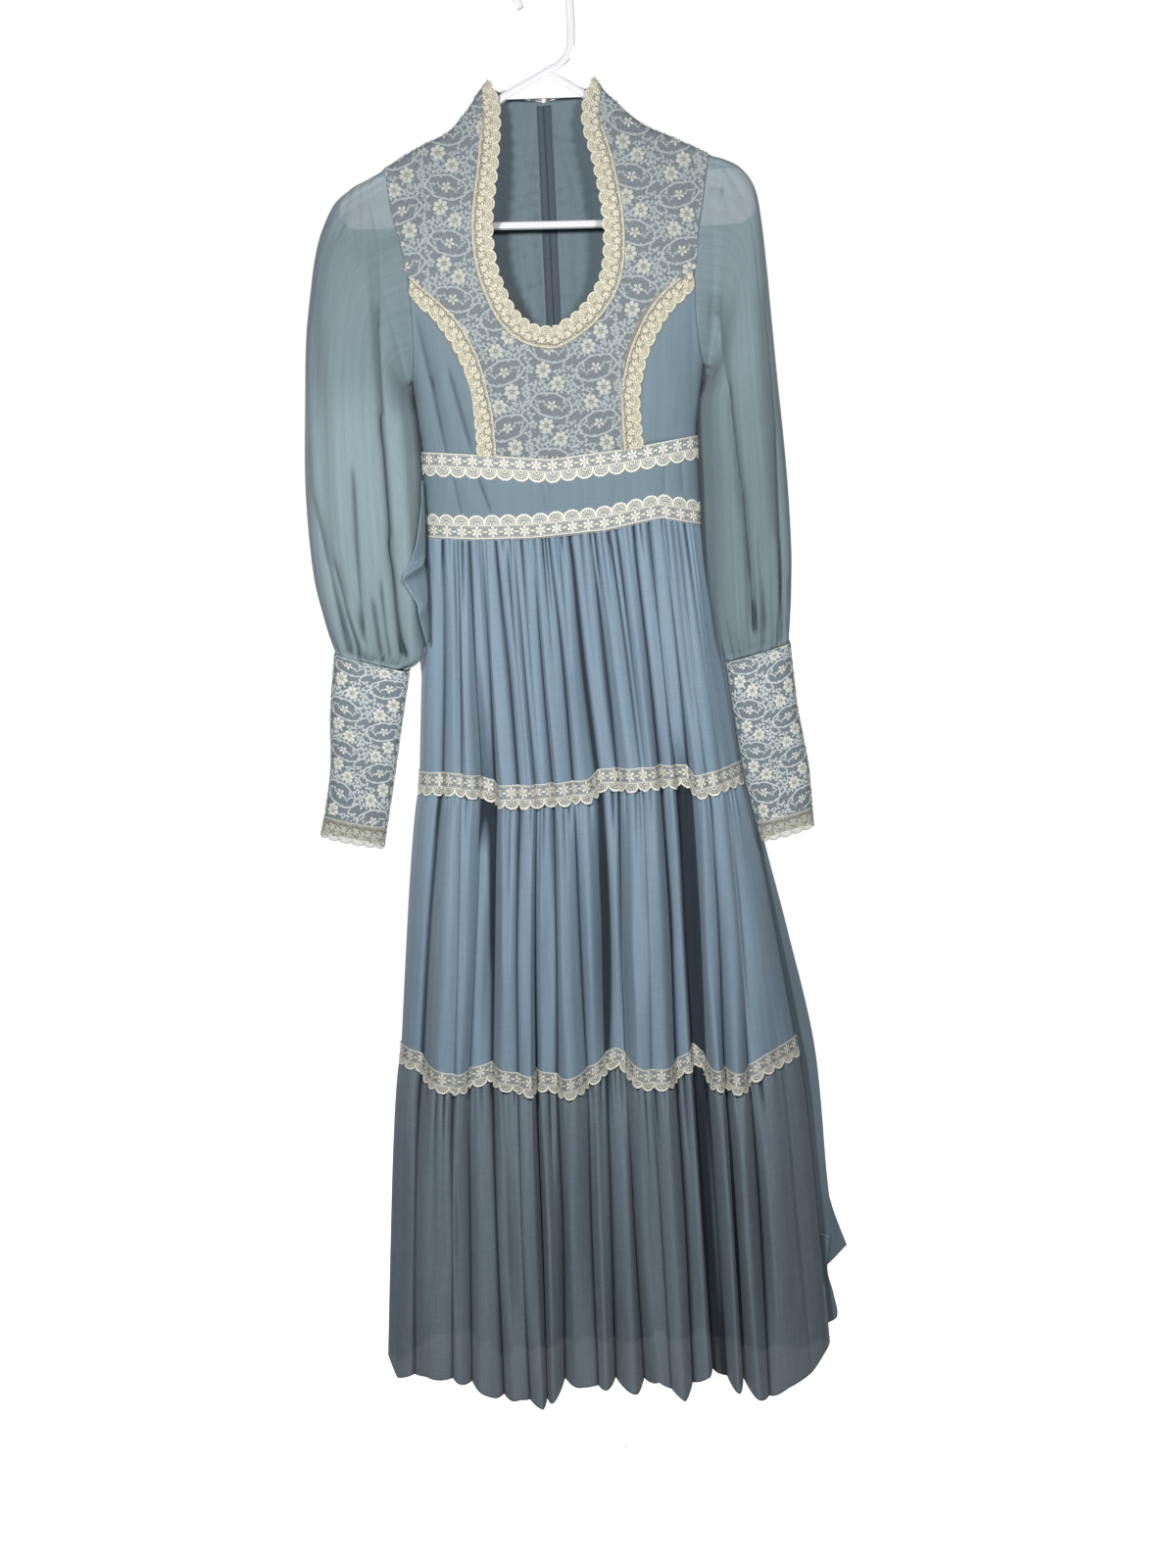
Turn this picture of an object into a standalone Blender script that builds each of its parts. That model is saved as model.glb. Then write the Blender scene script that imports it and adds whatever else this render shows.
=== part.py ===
"""A gathered, tiered prairie maxi dress with lace edgings, hanging on a tubular hanger.

X is to the right as seen from the front, Y is away from the front and Z is up. The origin is at
the inside of the crown of the hanger's hook. Sizes are in millimetres until a mesh is made.
"""

import math

import bmesh
import bpy
from mathutils import Vector

MM = 0.001

# Walls and gaps
CLOTH = 1.2
LACE = 1.0
SEAM = 0.6  # from a seam to the edge of each piece that meets there
ARMHOLE_GAP = 1.0  # from the armhole's edge to the sleeve
SIDE_GAP = 1.1  # from the skirt's side seams to the front and to the back
LAID_ON = 0.35  # from a cloth to the lace laid on it
SHOULDER_GAP = 0.9  # from the shoulder line to the front and to the back

# Hanger
TUBE = 4.0  # radius
HOOK_RADIUS = 26.0
WEB = 2.4

# Bodice
SHOULDER_ROUND = 6.4  # how far the cloth stands off the hanger's arm
SHOULDER_REACH = 90.0  # below the shoulder line the bodice takes this far to reach its full depth
SECTION_POWER = 2.5
ZIP_X_TOP = -5.0
ZIP_X_WAIST = -9.5
COLLAR_BACK_Z = -117.0

# Waist laces and tier laces
WAIST_LACE = 24.0
TIER_LACE_GAP = 0.8

# Sleeves
SLEEVE_COLUMNS = 24
CUFF_COLUMNS = 16
WRIST_LACE = 0.14  # share of the cuff's length

# Zip
TAPE_HALF = 10.0
SLIDER_Z = -126.0

# Shoulder line from the armhole to the collar's peak: x, z
SHOULDER_LEFT = (
    (-167, -178),
    (-144, -166),
    (-123, -156),
    (-103, -148),
    (-91, -138),
    (-79, -125),
    (-69, -111),
    (-58, -101),
)
SHOULDER_RIGHT = (
    (156, -182),
    (135, -171),
    (117, -162),
    (95, -152),
    (76, -137),
    (66, -127),
    (57, -118),
    (46, -104),
)

# Bodice section: z, left x, right x, front depth, back depth
BODICE = (
    (-95, -186, 172, 20, 46),
    (-180, -186, 172, 32, 42),
    (-300, -186, 172, 40, 38),
    (-345, -172, 158, 42, 38),
    (-386, -154, 141, 43, 38),
    (-430, -151, 134, 44, 40),
    (-457, -149.2, 131, 44, 40),
    (-550, -150, 131, 42, 40),
)

# Front yoke, a row per height: outer x, outer z, neck or centre x, neck or centre z
YOKE_LEFT = (
    (-167, -178, -58, -101),
    (-165, -192, -50, -124),
    (-163, -216, -50, -150),
    (-158, -240, -55, -190),
    (-153, -262, -63, -240),
    (-149, -288, -62, -275),
    (-126, -310, -56, -300),
    (-106, -331, -45, -325),
    (-95, -350, -29, -340),
    (-85, -373, -9, -345),
    (-79, -401, -9, -388),
    (-75, -430, -9, -430),
    (-74, -462, -9, -471),
)
YOKE_RIGHT = (
    (156, -182, 46, -104),
    (153, -196, 35, -128),
    (149, -216, 33, -152),
    (143, -244, 41, -190),
    (139, -266, 47, -235),
    (135, -296, 47, -270),
    (103, -316, 42, -296),
    (82, -338, 31, -315),
    (68, -362, 14, -332),
    (61, -386, -9, -345),
    (59, -408, -9, -388),
    (58, -432, -9, -430),
    (56, -459, -9, -471),
)

# Side fronts, a row per height from the underarm point of the yoke: side x, side z, seam x, seam z
SIDE_LEFT = (
    (-149, -293, -147, -290),
    (-148, -311, -126, -310),
    (-148, -332, -106, -331),
    (-149, -352, -95, -350),
    (-151, -371, -85, -373),
    (-154, -387, -79, -401),
    (-151, -428, -75, -430),
    (-148, -457, -74, -462),
)
SIDE_RIGHT = (
    (134, -301, 132, -297.8),
    (134, -318, 103, -316),
    (134, -338, 82, -338),
    (136, -359, 68, -362),
    (138, -374, 61, -386),
    (141, -387, 59, -408),
    (134, -430, 58, -432),
    (130, -456, 56, -459),
)

# Backs, a row per height: side x, side z, centre z
BACK_LEFT = (
    (-58, -102, -117),
    (-69, -111, -128),
    (-79, -125, -141),
    (-91, -138, -153),
    (-103, -148, -164),
    (-123, -156, -176),
    (-144, -166, -190),
    (-167, -178, -208),
    (-166, -186, -214),
    (-163, -220, -240),
    (-155, -259, -272),
    (-151, -298, -308),
    (-150, -335, -345),
    (-151, -364, -372),
    (-154, -387, -396),
    (-151, -428, -434),
    (-148, -457, -470),
)
BACK_RIGHT = (
    (46, -105, -117),
    (57, -118, -128),
    (66, -127, -141),
    (76, -137, -153),
    (95, -152, -164),
    (117, -162, -176),
    (135, -171, -190),
    (156, -182, -208),
    (155, -190, -214),
    (149, -222, -240),
    (141, -260, -272),
    (136, -298, -308),
    (134, -335, -345),
    (136, -362, -372),
    (141, -387, -396),
    (134, -430, -434),
    (130, -456, -470),
)

# Armholes as the sleeve meets them: z, x
ARMHOLE_LEFT = ((-178, -167), (-220, -163), (-260, -155), (-292, -151), (-335, -150), (-364, -151), (-386, -154))
ARMHOLE_RIGHT = ((-182, 156), (-220, 150), (-262, 141), (-298, 136), (-335, 135), (-362, 137), (-386, 141))

# Seams round the body: x, z
MIDRIFF_TOP = ((-150, -457), (-80, -465), (-20, -472), (60, -466), (132, -456))
MIDRIFF_BOTTOM = ((-153, -541), (-100, -546), (-40, -547.5), (32, -544), (62, -539), (88, -535), (132, -545))
TIER_1_SEAM = (
    (-177, -803),
    (-140, -801),
    (-115, -806),
    (-91, -816),
    (-60, -818),
    (0, -816),
    (15, -807),
    (75, -806),
    (105, -810),
    (112, -820),
    (130, -817),
    (162, -812),
)
TIER_2_SEAM = (
    (-218, -1093),
    (-195, -1098),
    (-185, -1108),
    (-155, -1115),
    (-118, -1107),
    (-85, -1116),
    (-43, -1124),
    (-20, -1120),
    (14, -1100),
    (40, -1118),
    (73, -1119),
    (96, -1103),
    (112, -1123),
    (145, -1131),
    (168, -1118),
    (209, -1111),
)
HEM = (
    (-257, -1433),
    (-246, -1450),
    (-211, -1434),
    (-179, -1437),
    (-160, -1445),
    (-135, -1460),
    (-110, -1457),
    (-83, -1469),
    (-60, -1453),
    (-15, -1454),
    (17, -1463),
    (39, -1447),
    (66, -1468),
    (93, -1452),
    (115, -1463),
    (137, -1470),
    (159, -1481),
    (180, -1472),
    (207, -1468),
    (232, -1449),
)
SEAMS = (MIDRIFF_BOTTOM, TIER_1_SEAM, TIER_2_SEAM, HEM)

# Skirt folds, a row per ridge or valley of the front from left to right:
# x at the waist, at tier 1's seam, at tier 2's seam and at the hem, then how far out it stands at each
FOLDS = (
    (-153, -177, -218, -257, 0.00, 0.00, 0.00, 0.00),
    (-142, -166, -203, -237, 0.70, 0.60, 0.40, 0.55),
    (-131, -150, -193, -225, 0.50, 0.45, 0.25, 0.40),
    (-124, -137, -172, -200, 0.90, 0.80, 0.90, 0.80),
    (-117, -130, -158, -182, 0.50, 0.60, 0.75, 0.60),
    (-111, -119, -151, -168, 0.90, 0.75, 0.85, 0.80),
    (-104, -110, -143, -162, 0.20, 0.08, 0.40, 0.45),
    (-98, -102, -132, -145, 0.60, 0.15, 0.50, 0.80),
    (-93, -95, -118, -128, 0.20, 0.10, 0.35, 0.50),
    (-85, -85, -103, -112, 0.95, 0.95, 0.85, 0.90),
    (-77, -71, -91, -100, 0.60, 0.70, 0.75, 0.70),
    (-69, -62, -83, -91, 0.90, 0.95, 0.95, 0.95),
    (-60, -54, -73, -82, 0.30, 0.55, 0.12, 0.45),
    (-51, -44, -62, -72, 0.90, 0.95, 0.50, 0.85),
    (-42, -36, -50, -62, 0.30, 0.50, 0.45, 0.15),
    (-33, -26, -30, -37, 0.90, 0.95, 0.90, 0.65),
    (-24, -15, -19, -26, 0.35, 0.60, 0.35, 0.55),
    (-15, -3, -9, -16, 0.85, 0.85, 0.45, 0.80),
    (-5, 10, 2, -7, 0.40, 0.10, 0.15, 0.15),
    (5, 21, 13, 6, 0.80, 0.30, 0.30, 0.75),
    (17, 32, 23, 24, 0.15, 0.15, 0.35, 0.20),
    (27, 46, 36, 41, 0.85, 0.85, 0.95, 0.85),
    (38, 56, 48, 52, 0.50, 0.75, 0.85, 0.75),
    (48, 65, 60, 63, 0.90, 0.90, 0.95, 0.95),
    (59, 75, 75, 76, 0.30, 0.10, 0.30, 0.35),
    (68, 82, 84, 86, 0.85, 0.60, 0.50, 0.60),
    (76, 91, 93, 99, 0.30, 0.05, 0.08, 0.08),
    (83, 98, 100, 107, 0.70, 0.15, 0.20, 0.20),
    (90, 106, 107, 114, 0.25, 0.10, 0.15, 0.15),
    (97, 114, 116, 122, 0.90, 0.85, 0.95, 0.85),
    (103, 123, 126, 132, 0.50, 0.70, 0.30, 0.10),
    (109, 131, 135, 142, 0.85, 0.85, 0.95, 0.90),
    (115, 140, 151, 158, 0.50, 0.60, 0.45, 0.50),
    (120, 147, 167, 180, 0.70, 0.60, 0.60, 0.65),
    (125, 153, 186, 206, 0.40, 0.35, 0.35, 0.40),
    (132, 162, 209, 232, 0.00, 0.00, 0.00, 0.00),
)
# Depth of the skirt without its folds, and depth of the folds, at the same four heights
SKIRT_DEPTH = (38, 24, 26, 30)
FOLD_DEPTH = (6, 32, 50, 52)
BACK_FOLDS = 0.7  # the back's folds are this much of the front's
PUFF = 4.0  # how far a tier fills out just under its seam
SIDE_PUFFS = (0, 3.5, 4)  # how far each tier fills out at its sides
RIDGE_WIDTH = 0.24  # of the way to the next row of the table

# Sleeves, a row per ring from the armhole down:
# left end x, z, right end x, z, middle y, half depth, depth of the small folds
SLEEVE_LEFT = (
    (-183, -186, -157, -388, -1, 25, 1.0),
    (-201, -195, -160, -390, -2, 29, 2.0),
    (-222, -214, -162, -394, -4, 33, 2.0),
    (-240, -256, -162, -399, -8, 36, 2.0),
    (-252, -322, -161, -410, -15, 37, 2.5),
    (-261, -405, -158, -430, -23, 37, 3.0),
    (-267, -490, -157, -498, -29, 35, 3.0),
    (-266, -570, -158, -573, -32, 33, 3.5),
    (-259, -616, -161, -636, -33, 29, 4.0),
    (-250, -652.3, -175, -674.8, -33, 17, 1.5),
)
SLEEVE_RIGHT = (
    (145, -388, 170, -186, -1, 25, 1.0),
    (148, -390, 187, -196, -2, 29, 2.0),
    (149, -394, 200, -216, -4, 33, 2.0),
    (149, -399, 205, -250, -8, 36, 2.0),
    (145, -410, 209, -318, -15, 37, 2.5),
    (140, -430, 213, -402, -23, 37, 3.0),
    (139, -500, 218, -490, -30, 35, 3.0),
    (142, -575, 220, -570, -33, 33, 3.5),
    (145, -643, 218, -626, -33, 29, 4.0),
    (148, -683.3, 214, -667.3, -33, 17, 1.5),
)

# Cuffs, a row per ring: left end x, z, right end x, z, middle y, half depth
CUFF_LEFT = (
    (-249, -653, -176, -675.5, -33, 15),
    (-258, -714, -188, -730, -33, 15),
    (-263, -775, -201, -791, -33, 14),
    (-278, -841, -216, -857, -33, 13),
)
CUFF_RIGHT = (
    (149, -684, 213, -668, -33, 15),
    (156, -746, 218, -734, -33, 15),
    (164, -808, 227, -796, -33, 14),
    (178, -873, 230, -860, -33, 13),
)

# Sashes, a row per height: z of the outer edge, z of the inner edge, outer x, y, middle x, y, inner x, y
SASH_LEFT = (
    (-496, -496, -149.9, -4, -149.9, 4, -148.4, 12),
    (-548, -545, -158, -8, -160, 6, -157, 16),
    (-583, -575, -163, -7, -168, 6, -160, 20),
    (-606, -600, -160, 0, -167, 10, -162, 24),
    (-660, -660, -165, 16, -168, 27, -158, 38),
    (-790, -790, -172, 30, -166, 46, -146, 64),
    (-950, -950, -188, 38, -176, 58, -152, 76),
    (-1090, -1090, -204, 44, -192, 66, -166, 86),
    (-1340, -1310, -226, 56, -214, 78, -186, 96),
)
SASH_RIGHT = (
    (-496, -496, 132.7, -2, 132.7, 6, 131.5, 14),
    (-560, -560, 140, 6, 138, 22, 128, 36),
    (-680, -680, 152, 8, 147, 28, 132, 48),
    (-800, -800, 168, 6, 160, 30, 144, 52),
    (-872, -872, 181, 5, 171, 30, 154, 56),
    (-980, -980, 204, 4, 191, 30, 172, 60),
    (-1110, -1110, 228, 4, 215, 34, 194, 66),
    (-1255, -1255, 236, 4, 224, 34, 203, 66),
    (-1290, -1290, 240, 2, 227, 32, 209, 62),
    (-1336, -1439, 254, 0, 236, 20, 247, 26),
)


def between(rows, at, column):
    """A table's column at a value of its first column, by straight lines, held at both ends."""
    rising = rows if rows[0][0] < rows[-1][0] else rows[::-1]
    if at <= rising[0][0]:
        return rising[0][column]
    for low, high in zip(rising, rising[1:]):
        if at <= high[0]:
            share = (at - low[0]) / (high[0] - low[0])
            return low[column] + share * (high[column] - low[column])
    return rising[-1][column]


def mix(a, b, share):
    return a + (b - a) * share


def row_at(rows, place):
    """A whole row of a table at a place counted in rows, such as 2.5 for half way from row 2 to 3."""
    low = min(int(place), len(rows) - 2)
    return [mix(a, b, place - low) for a, b in zip(rows[low], rows[low + 1])]


def below_shoulder(x, z):
    """Distance from a point of the front view to the nearer shoulder line."""
    nearest = 1e9
    for line in (SHOULDER_LEFT, SHOULDER_RIGHT):
        for (ax, az), (bx, bz) in zip(line, line[1:]):
            dx, dz = bx - ax, bz - az
            share = ((x - ax) * dx + (z - az) * dz) / (dx * dx + dz * dz)
            share = min(1, max(0, share))
            nearest = min(nearest, math.hypot(x - ax - share * dx, z - az - share * dz))
    return nearest


def bodice_y(x, z, face):
    """Depth of the bodice's outer surface. The face is -1 for the front and 1 for the back."""
    left = between(BODICE, z, 1)
    right = between(BODICE, z, 2)
    full = between(BODICE, z, 3 if face < 0 else 4)
    across = min(1, abs(x - (left + right) / 2) / ((right - left) / 2))
    full *= (1 - across**SECTION_POWER) ** (1 / SECTION_POWER)
    drop = below_shoulder(x, z)
    reach = min(1, drop / SHOULDER_REACH)
    full *= (1 - (1 - reach) ** 1.5) ** (1 / 1.5)
    inside = SHOULDER_ROUND - min(drop, SHOULDER_ROUND)
    off_arm = math.sqrt(SHOULDER_ROUND**2 - inside**2) if z > -380 else 0
    off_arm *= min(1, max(0, (z + 380) / 60)) if z < -320 else 1
    return face * math.hypot(full, off_arm)


def bodice_point(x, z, face, out=0.0, gap=SEAM):
    """A point of the bodice, moved out along its normal, that stays clear of the side and shoulder seams."""
    y = bodice_y(x, z, face)
    step = 0.5
    near = z - 1 if below_shoulder(x, z) < 1 else z
    slope_x = (bodice_y(x + step, near, face) - bodice_y(x - step, near, face)) / (2 * step)
    slope_z = (bodice_y(x, near + step, face) - bodice_y(x, near - step, face)) / (2 * step)
    normal = Vector((-slope_x, 1, -slope_z)).normalized() * face
    moved = Vector((x, y, z)) + out * normal
    moved.y = face * max(gap, face * moved.y)
    return moved


def normals_of(rows, closed):
    """The outward normal at each point of a grid, as the mean of the unit normals of the faces round it."""
    tall, wide = len(rows), len(rows[0])
    sums = [[Vector((0, 0, 0)) for _ in range(wide)] for _ in range(tall)]
    for r in range(tall - 1):
        for c in range(wide if closed else wide - 1):
            right = (c + 1) % wide
            across = (rows[r][right] - rows[r][c]) + (rows[r + 1][right] - rows[r + 1][c])
            down = (rows[r + 1][c] - rows[r][c]) + (rows[r + 1][right] - rows[r][right])
            normal = down.cross(across).normalized()
            for i, k in ((r, c), (r, right), (r + 1, c), (r + 1, right)):
                sums[i][k] += normal
    return [[one.normalized() for one in row] for row in sums]


def moved_out(rows, distance, closed=False):
    normals = normals_of(rows, closed)
    return [[p + distance * n for p, n in zip(*pair)] for pair in zip(rows, normals)]


def node(name, mesh, material):
    made = bpy.data.objects.new(name, mesh)
    made.data.materials.append(material)
    pieces.objects.link(made)
    return made


def shell(name, grids, wall, material, closed=False):
    """A shell with its outer side on grids of points. Rows run down and columns run to the right,
    seen from outside. Grids that share an edge are joined there."""
    build = bmesh.new()
    for rows in grids:
        wide = len(rows[0])
        made = [[build.verts.new(MM * p) for p in row] for row in rows]
        for upper, lower in zip(made, made[1:]):
            for c in range(wide if closed else wide - 1):
                right = (c + 1) % wide
                build.faces.new((upper[c], lower[c], lower[right], upper[right]))
    bmesh.ops.remove_doubles(build, verts=build.verts, dist=1e-6)
    mesh = bpy.data.meshes.new(name)
    build.to_mesh(mesh)
    build.free()
    mesh.shade_smooth()
    made = node(name, mesh, material)
    made.modifiers.new("same diagonals on both sides", "TRIANGULATE")
    solid = made.modifiers.new("wall", "SOLIDIFY")
    solid.thickness = MM * wall
    solid.offset = -1
    solid.use_quality_normals = True
    return made


def colour(name, red, green, blue, roughness):
    made = bpy.data.materials.new(name)
    made.use_nodes = True
    shader = made.node_tree.nodes["Principled BSDF"]
    shader.inputs["Base Color"].default_value = (red, green, blue, 1)
    shader.inputs["Roughness"].default_value = roughness
    return made


# Start from an empty scene
for old in list(bpy.data.objects):
    bpy.data.objects.remove(old)
pieces = bpy.data.collections.new("dress_on_hanger")
bpy.context.scene.collection.children.link(pieces)
helpers = bpy.data.collections.new("helpers")
bpy.context.scene.collection.children.link(helpers)

voile = colour("blue_voile", 0.16, 0.24, 0.32, 0.85)
cream = colour("cream_lace", 0.72, 0.66, 0.50, 0.8)
plastic = colour("white_plastic", 0.85, 0.85, 0.86, 0.4)
metal = colour("zip_metal", 0.35, 0.40, 0.45, 0.35)


# Hanger: an arms and bar loop, a hook and a web plate, joined into one solid
def tube_mesh(name, points, cyclic):
    """A closed round tube along points of the XZ plane, as a mesh."""
    curve = bpy.data.curves.new(name, "CURVE")
    curve.dimensions = "3D"
    curve.bevel_depth = MM * TUBE
    curve.bevel_resolution = 2
    curve.use_fill_caps = True
    path = curve.splines.new("POLY")
    path.points.add(len(points) - 1)
    for point, (x, z) in zip(path.points, points):
        point.co = (MM * x, 0, MM * z, 1)
    path.use_cyclic_u = cyclic
    guide = bpy.data.objects.new(name, curve)
    helpers.objects.link(guide)
    mesh = bpy.data.meshes.new_from_object(guide.evaluated_get(bpy.context.evaluated_depsgraph_get()))
    bpy.data.objects.remove(guide)
    build = bmesh.new()
    build.from_mesh(mesh)
    bmesh.ops.remove_doubles(build, verts=build.verts, dist=1e-6)
    bmesh.ops.recalc_face_normals(build, faces=build.faces)
    build.to_mesh(mesh)
    build.free()
    return mesh


def prism(name, outline, place, low, high):
    """A straight prism: its outline is placed at a low and a high value of the third direction."""
    build = bmesh.new()
    near = [build.verts.new(MM * place(u, v, low)) for u, v in outline]
    far = [build.verts.new(MM * place(u, v, high)) for u, v in outline]
    build.faces.new(near)
    build.faces.new(far[::-1])
    for k in range(len(outline)):
        after = (k + 1) % len(outline)
        build.faces.new((near[after], near[k], far[k], far[after]))
    bmesh.ops.recalc_face_normals(build, faces=build.faces)
    mesh = bpy.data.meshes.new(name)
    build.to_mesh(mesh)
    build.free()
    return mesh


def from_front(x, z, y):
    return Vector((x, y, z))


HANGER_LOOP = (
    (0, -95),
    (-45, -117),
    (-103, -154.5),
    (-140, -172),
    (-170, -187),
    (-193, -199),
    (-206, -209),
    (-209, -220),
    (-203, -230),
    (-190, -234),
    (-10, -240.5),
    (173, -246.5),
    (184, -244),
    (191, -236),
    (192, -226),
    (188, -215),
    (178, -203.5),
    (158, -191),
    (95, -158.5),
    (34, -117.5),
)
WEB_OUTLINE = ((-2, -97), (-46, -119), (38, -121), (3, -97))
GUSSET_OUTLINE = ((6, -96), (14, -101), (20, -82), (12, -88))
hook = [(21, -82), (25, -72), (HOOK_RADIUS, -55)]
for turn in range(0, 211, 15):
    angle = math.radians(turn)
    hook.append((HOOK_RADIUS * math.cos(angle), -22 + HOOK_RADIUS * math.sin(angle)))
hanger = node("hanger", tube_mesh("hanger", HANGER_LOOP, True), plastic)
added = (
    ("hanger_hook", tube_mesh("hanger_hook", [(-2, -96), (12, -90), *hook], False)),
    ("hanger_web", prism("hanger_web", WEB_OUTLINE, from_front, -WEB / 2, WEB / 2)),
    ("hanger_gusset", prism("hanger_gusset", GUSSET_OUTLINE, from_front, -WEB / 2, WEB / 2)),
)
for name, mesh in added:
    helper = bpy.data.objects.new(name, mesh)
    helper.hide_render = True
    helper.display_type = "WIRE"
    helpers.objects.link(helper)
    joined = hanger.modifiers.new(name, "BOOLEAN")
    joined.operation = "UNION"
    joined.solver = "EXACT"
    joined.object = helper


# Front yoke and the allover lace on it
YOKE_PLACES = (0, 0.03, 0.25, 1, 2, 3, 4, 5, 6, 7, 8, 9, 10, 11, 12)
YOKE_ACROSS = (0, 0.25, 0.5, 0.75, 1)


def on_line(line, share):
    """A point at a share of the way along a line, by the line's own rows."""
    return row_at(line, share * (len(line) - 1))


def yoke_rows(table, shoulder, side, out):
    """One half of the yoke. The side is -1 for the left, whose rows start at its outer edge."""
    rows = []
    for place in YOKE_PLACES:
        outer_x, outer_z, inner_x, inner_z = row_at(table, place)
        outer_x -= side * SEAM
        across = YOKE_ACROSS if side < 0 else YOKE_ACROSS[::-1]
        row = []
        for share in across:
            x = mix(outer_x, inner_x, share)
            z = mix(outer_z, inner_z, share)
            line_x, line_z = on_line(shoulder, share)
            bow = max(0, 1 - place / 4) ** 2
            x += bow * (line_x - mix(shoulder[0][0], shoulder[-1][0], share))
            z += bow * (line_z - mix(shoulder[0][1], shoulder[-1][1], share))
            if place == len(table) - 1:
                z = between(MIDRIFF_TOP, x, 1) + SEAM
            row.append(bodice_point(x, z, -1, out, SHOULDER_GAP))
        rows.append(row)
    return rows


for name, wall, out, material in (
    ("front_bib", CLOTH, 0, voile),
    ("front_bib_lace", LACE, LAID_ON + LACE, cream),
):
    halves = [
        yoke_rows(YOKE_LEFT, SHOULDER_LEFT, -1, out),
        yoke_rows(YOKE_RIGHT, SHOULDER_RIGHT, 1, out),
    ]
    shell(name, halves, wall, material)


# Side fronts
def side_front(name, table, side):
    rows = []
    for side_x, side_z, seam_x, seam_z in table:
        if side_z == table[-1][1]:
            side_z = between(MIDRIFF_TOP, side_x, 1) + SEAM
            seam_z = between(MIDRIFF_TOP, seam_x, 1) + SEAM
        seam_x += side * SEAM
        across = (0, 0.03, 0.12, 0.4, 1) if side < 0 else (1, 0.4, 0.12, 0.03, 0)
        rows.append(
            [bodice_point(mix(side_x, seam_x, s), mix(side_z, seam_z, s), -1) for s in across]
        )
    shell(name, [rows], CLOTH, voile)


side_front("side_front_left", SIDE_LEFT, -1)
side_front("side_front_right", SIDE_RIGHT, 1)


# Backs, from the zip to the side seam
def zip_x(z):
    return mix(ZIP_X_TOP, ZIP_X_WAIST, min(1, (COLLAR_BACK_Z - z) / 353))


BACK_ACROSS = (0, 0.03, 0.12, 0.35, 0.65, 0.93, 1)


def back_rows(table, side):
    rows = []
    for place in range(len(table)):
        side_x, side_z, centre_z = row_at(table, place)
        centre_x = zip_x(centre_z) + side * SEAM
        across = BACK_ACROSS if side > 0 else BACK_ACROSS[::-1]
        row = []
        for share in across:
            x = mix(side_x, centre_x, share)
            sag = share if place > 8 else share**0.5
            z = mix(side_z, centre_z, sag)
            if place == len(table) - 1:
                z = between(MIDRIFF_TOP, x, 1) + SEAM
            gap = SHOULDER_GAP if place < 9 else SEAM
            row.append(bodice_point(x, z, 1, 0, gap))
        rows.append(row)
    return rows


shell("back_left", [back_rows(BACK_LEFT, -1)], CLOTH, voile)
shell("back_right", [back_rows(BACK_RIGHT, 1)], CLOTH, voile)


# Midriff band and the two lace edgings on it
def body_share(x):
    """Where an x lies across the waist, from -1 at the left side to 1 at the right."""
    left, right = between(BODICE, -500, 1), between(BODICE, -500, 2)
    return 2 * (x - left) / (right - left) - 1


SEAM_CORNERS = sorted(body_share(x) for x, z in (*MIDRIFF_TOP[1:-1], *MIDRIFF_BOTTOM[1:-1]))
ROUND_THE_SIDES = (-0.985, -0.95, -0.88, 0.88, 0.95, 0.985)


def band_rows(face, from_share, to_share, top, bottom, out=0.0, scallops=None):
    """A band round the body between two distances, each from the midriff's top or bottom seam."""
    across = SEAM_CORNERS
    if scallops:
        count = round((to_share - from_share) * 9)
        across = [mix(from_share, to_share, k / (2 * count)) for k in range(1, 2 * count)]
    across = sorted(s for s in {*across, *ROUND_THE_SIDES} if from_share < s < to_share)
    across = [from_share, *across, to_share]
    rows = []
    for seam, away, edge in (top, bottom):
        row = []
        for k, share in enumerate(across):
            left, right = between(BODICE, -500, 1), between(BODICE, -500, 2)
            z = between(seam, mix(left, right, (share + 1) / 2), 1) + away
            left, right = between(BODICE, z, 1), between(BODICE, z, 2)
            x = mix(left, right, (share + 1) / 2)
            if scallops == edge:
                z += (1 if edge == "top" else -1) * (-3.5 if k % 2 == 0 else 0)
            row.append(bodice_point(x, z, face, out))
        rows.append(row)
    if face > 0:
        rows = [row[::-1] for row in rows]
    return rows


ZIP_SHARE = body_share(ZIP_X_WAIST)
GAP_SHARE = 0.004
FACES = (
    ("front", -1, -1, 1),
    ("back_left", 1, -1, ZIP_SHARE - GAP_SHARE),
    ("back_right", 1, ZIP_SHARE + GAP_SHARE, 1),
)
for name, face, start, end in FACES:
    band = band_rows(face, start, end, (MIDRIFF_TOP, -SEAM, "top"), (MIDRIFF_BOTTOM, SEAM, "bottom"))
    shell("midriff_" + name, [band], CLOTH, voile)
    out = LAID_ON + LACE + 0.25
    upper = band_rows(
        face, start, end, (MIDRIFF_TOP, -1, "top"), (MIDRIFF_TOP, -WAIST_LACE, "bottom"), out, "bottom"
    )
    shell("lace_waist_top_" + name, [upper], LACE, cream)
    lower = band_rows(
        face, start, end, (MIDRIFF_BOTTOM, WAIST_LACE, "top"), (MIDRIFF_BOTTOM, 1, "bottom"), out, "top"
    )
    shell("lace_waist_bottom_" + name, [lower], LACE, cream)


# Edgings along the neck, the collar and the yoke's side seams
def spaced(path, step, start):
    """Points at equal steps along a path from a start to the same distance from its end, each
    with how far it is from the nearer of the two."""
    lengths = [0]
    for a, b in zip(path, path[1:]):
        lengths.append(lengths[-1] + math.dist(a, b))
    table = [(length, *point) for length, point in zip(lengths, path)]
    whole = lengths[-1] - 2 * start
    count = 2 * round(whole / step / 2)
    places = [whole * k / count for k in range(count + 1)]
    return [
        (between(table, start + p, 1), between(table, start + p, 2), min(p, whole - p)) for p in places
    ]


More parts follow.
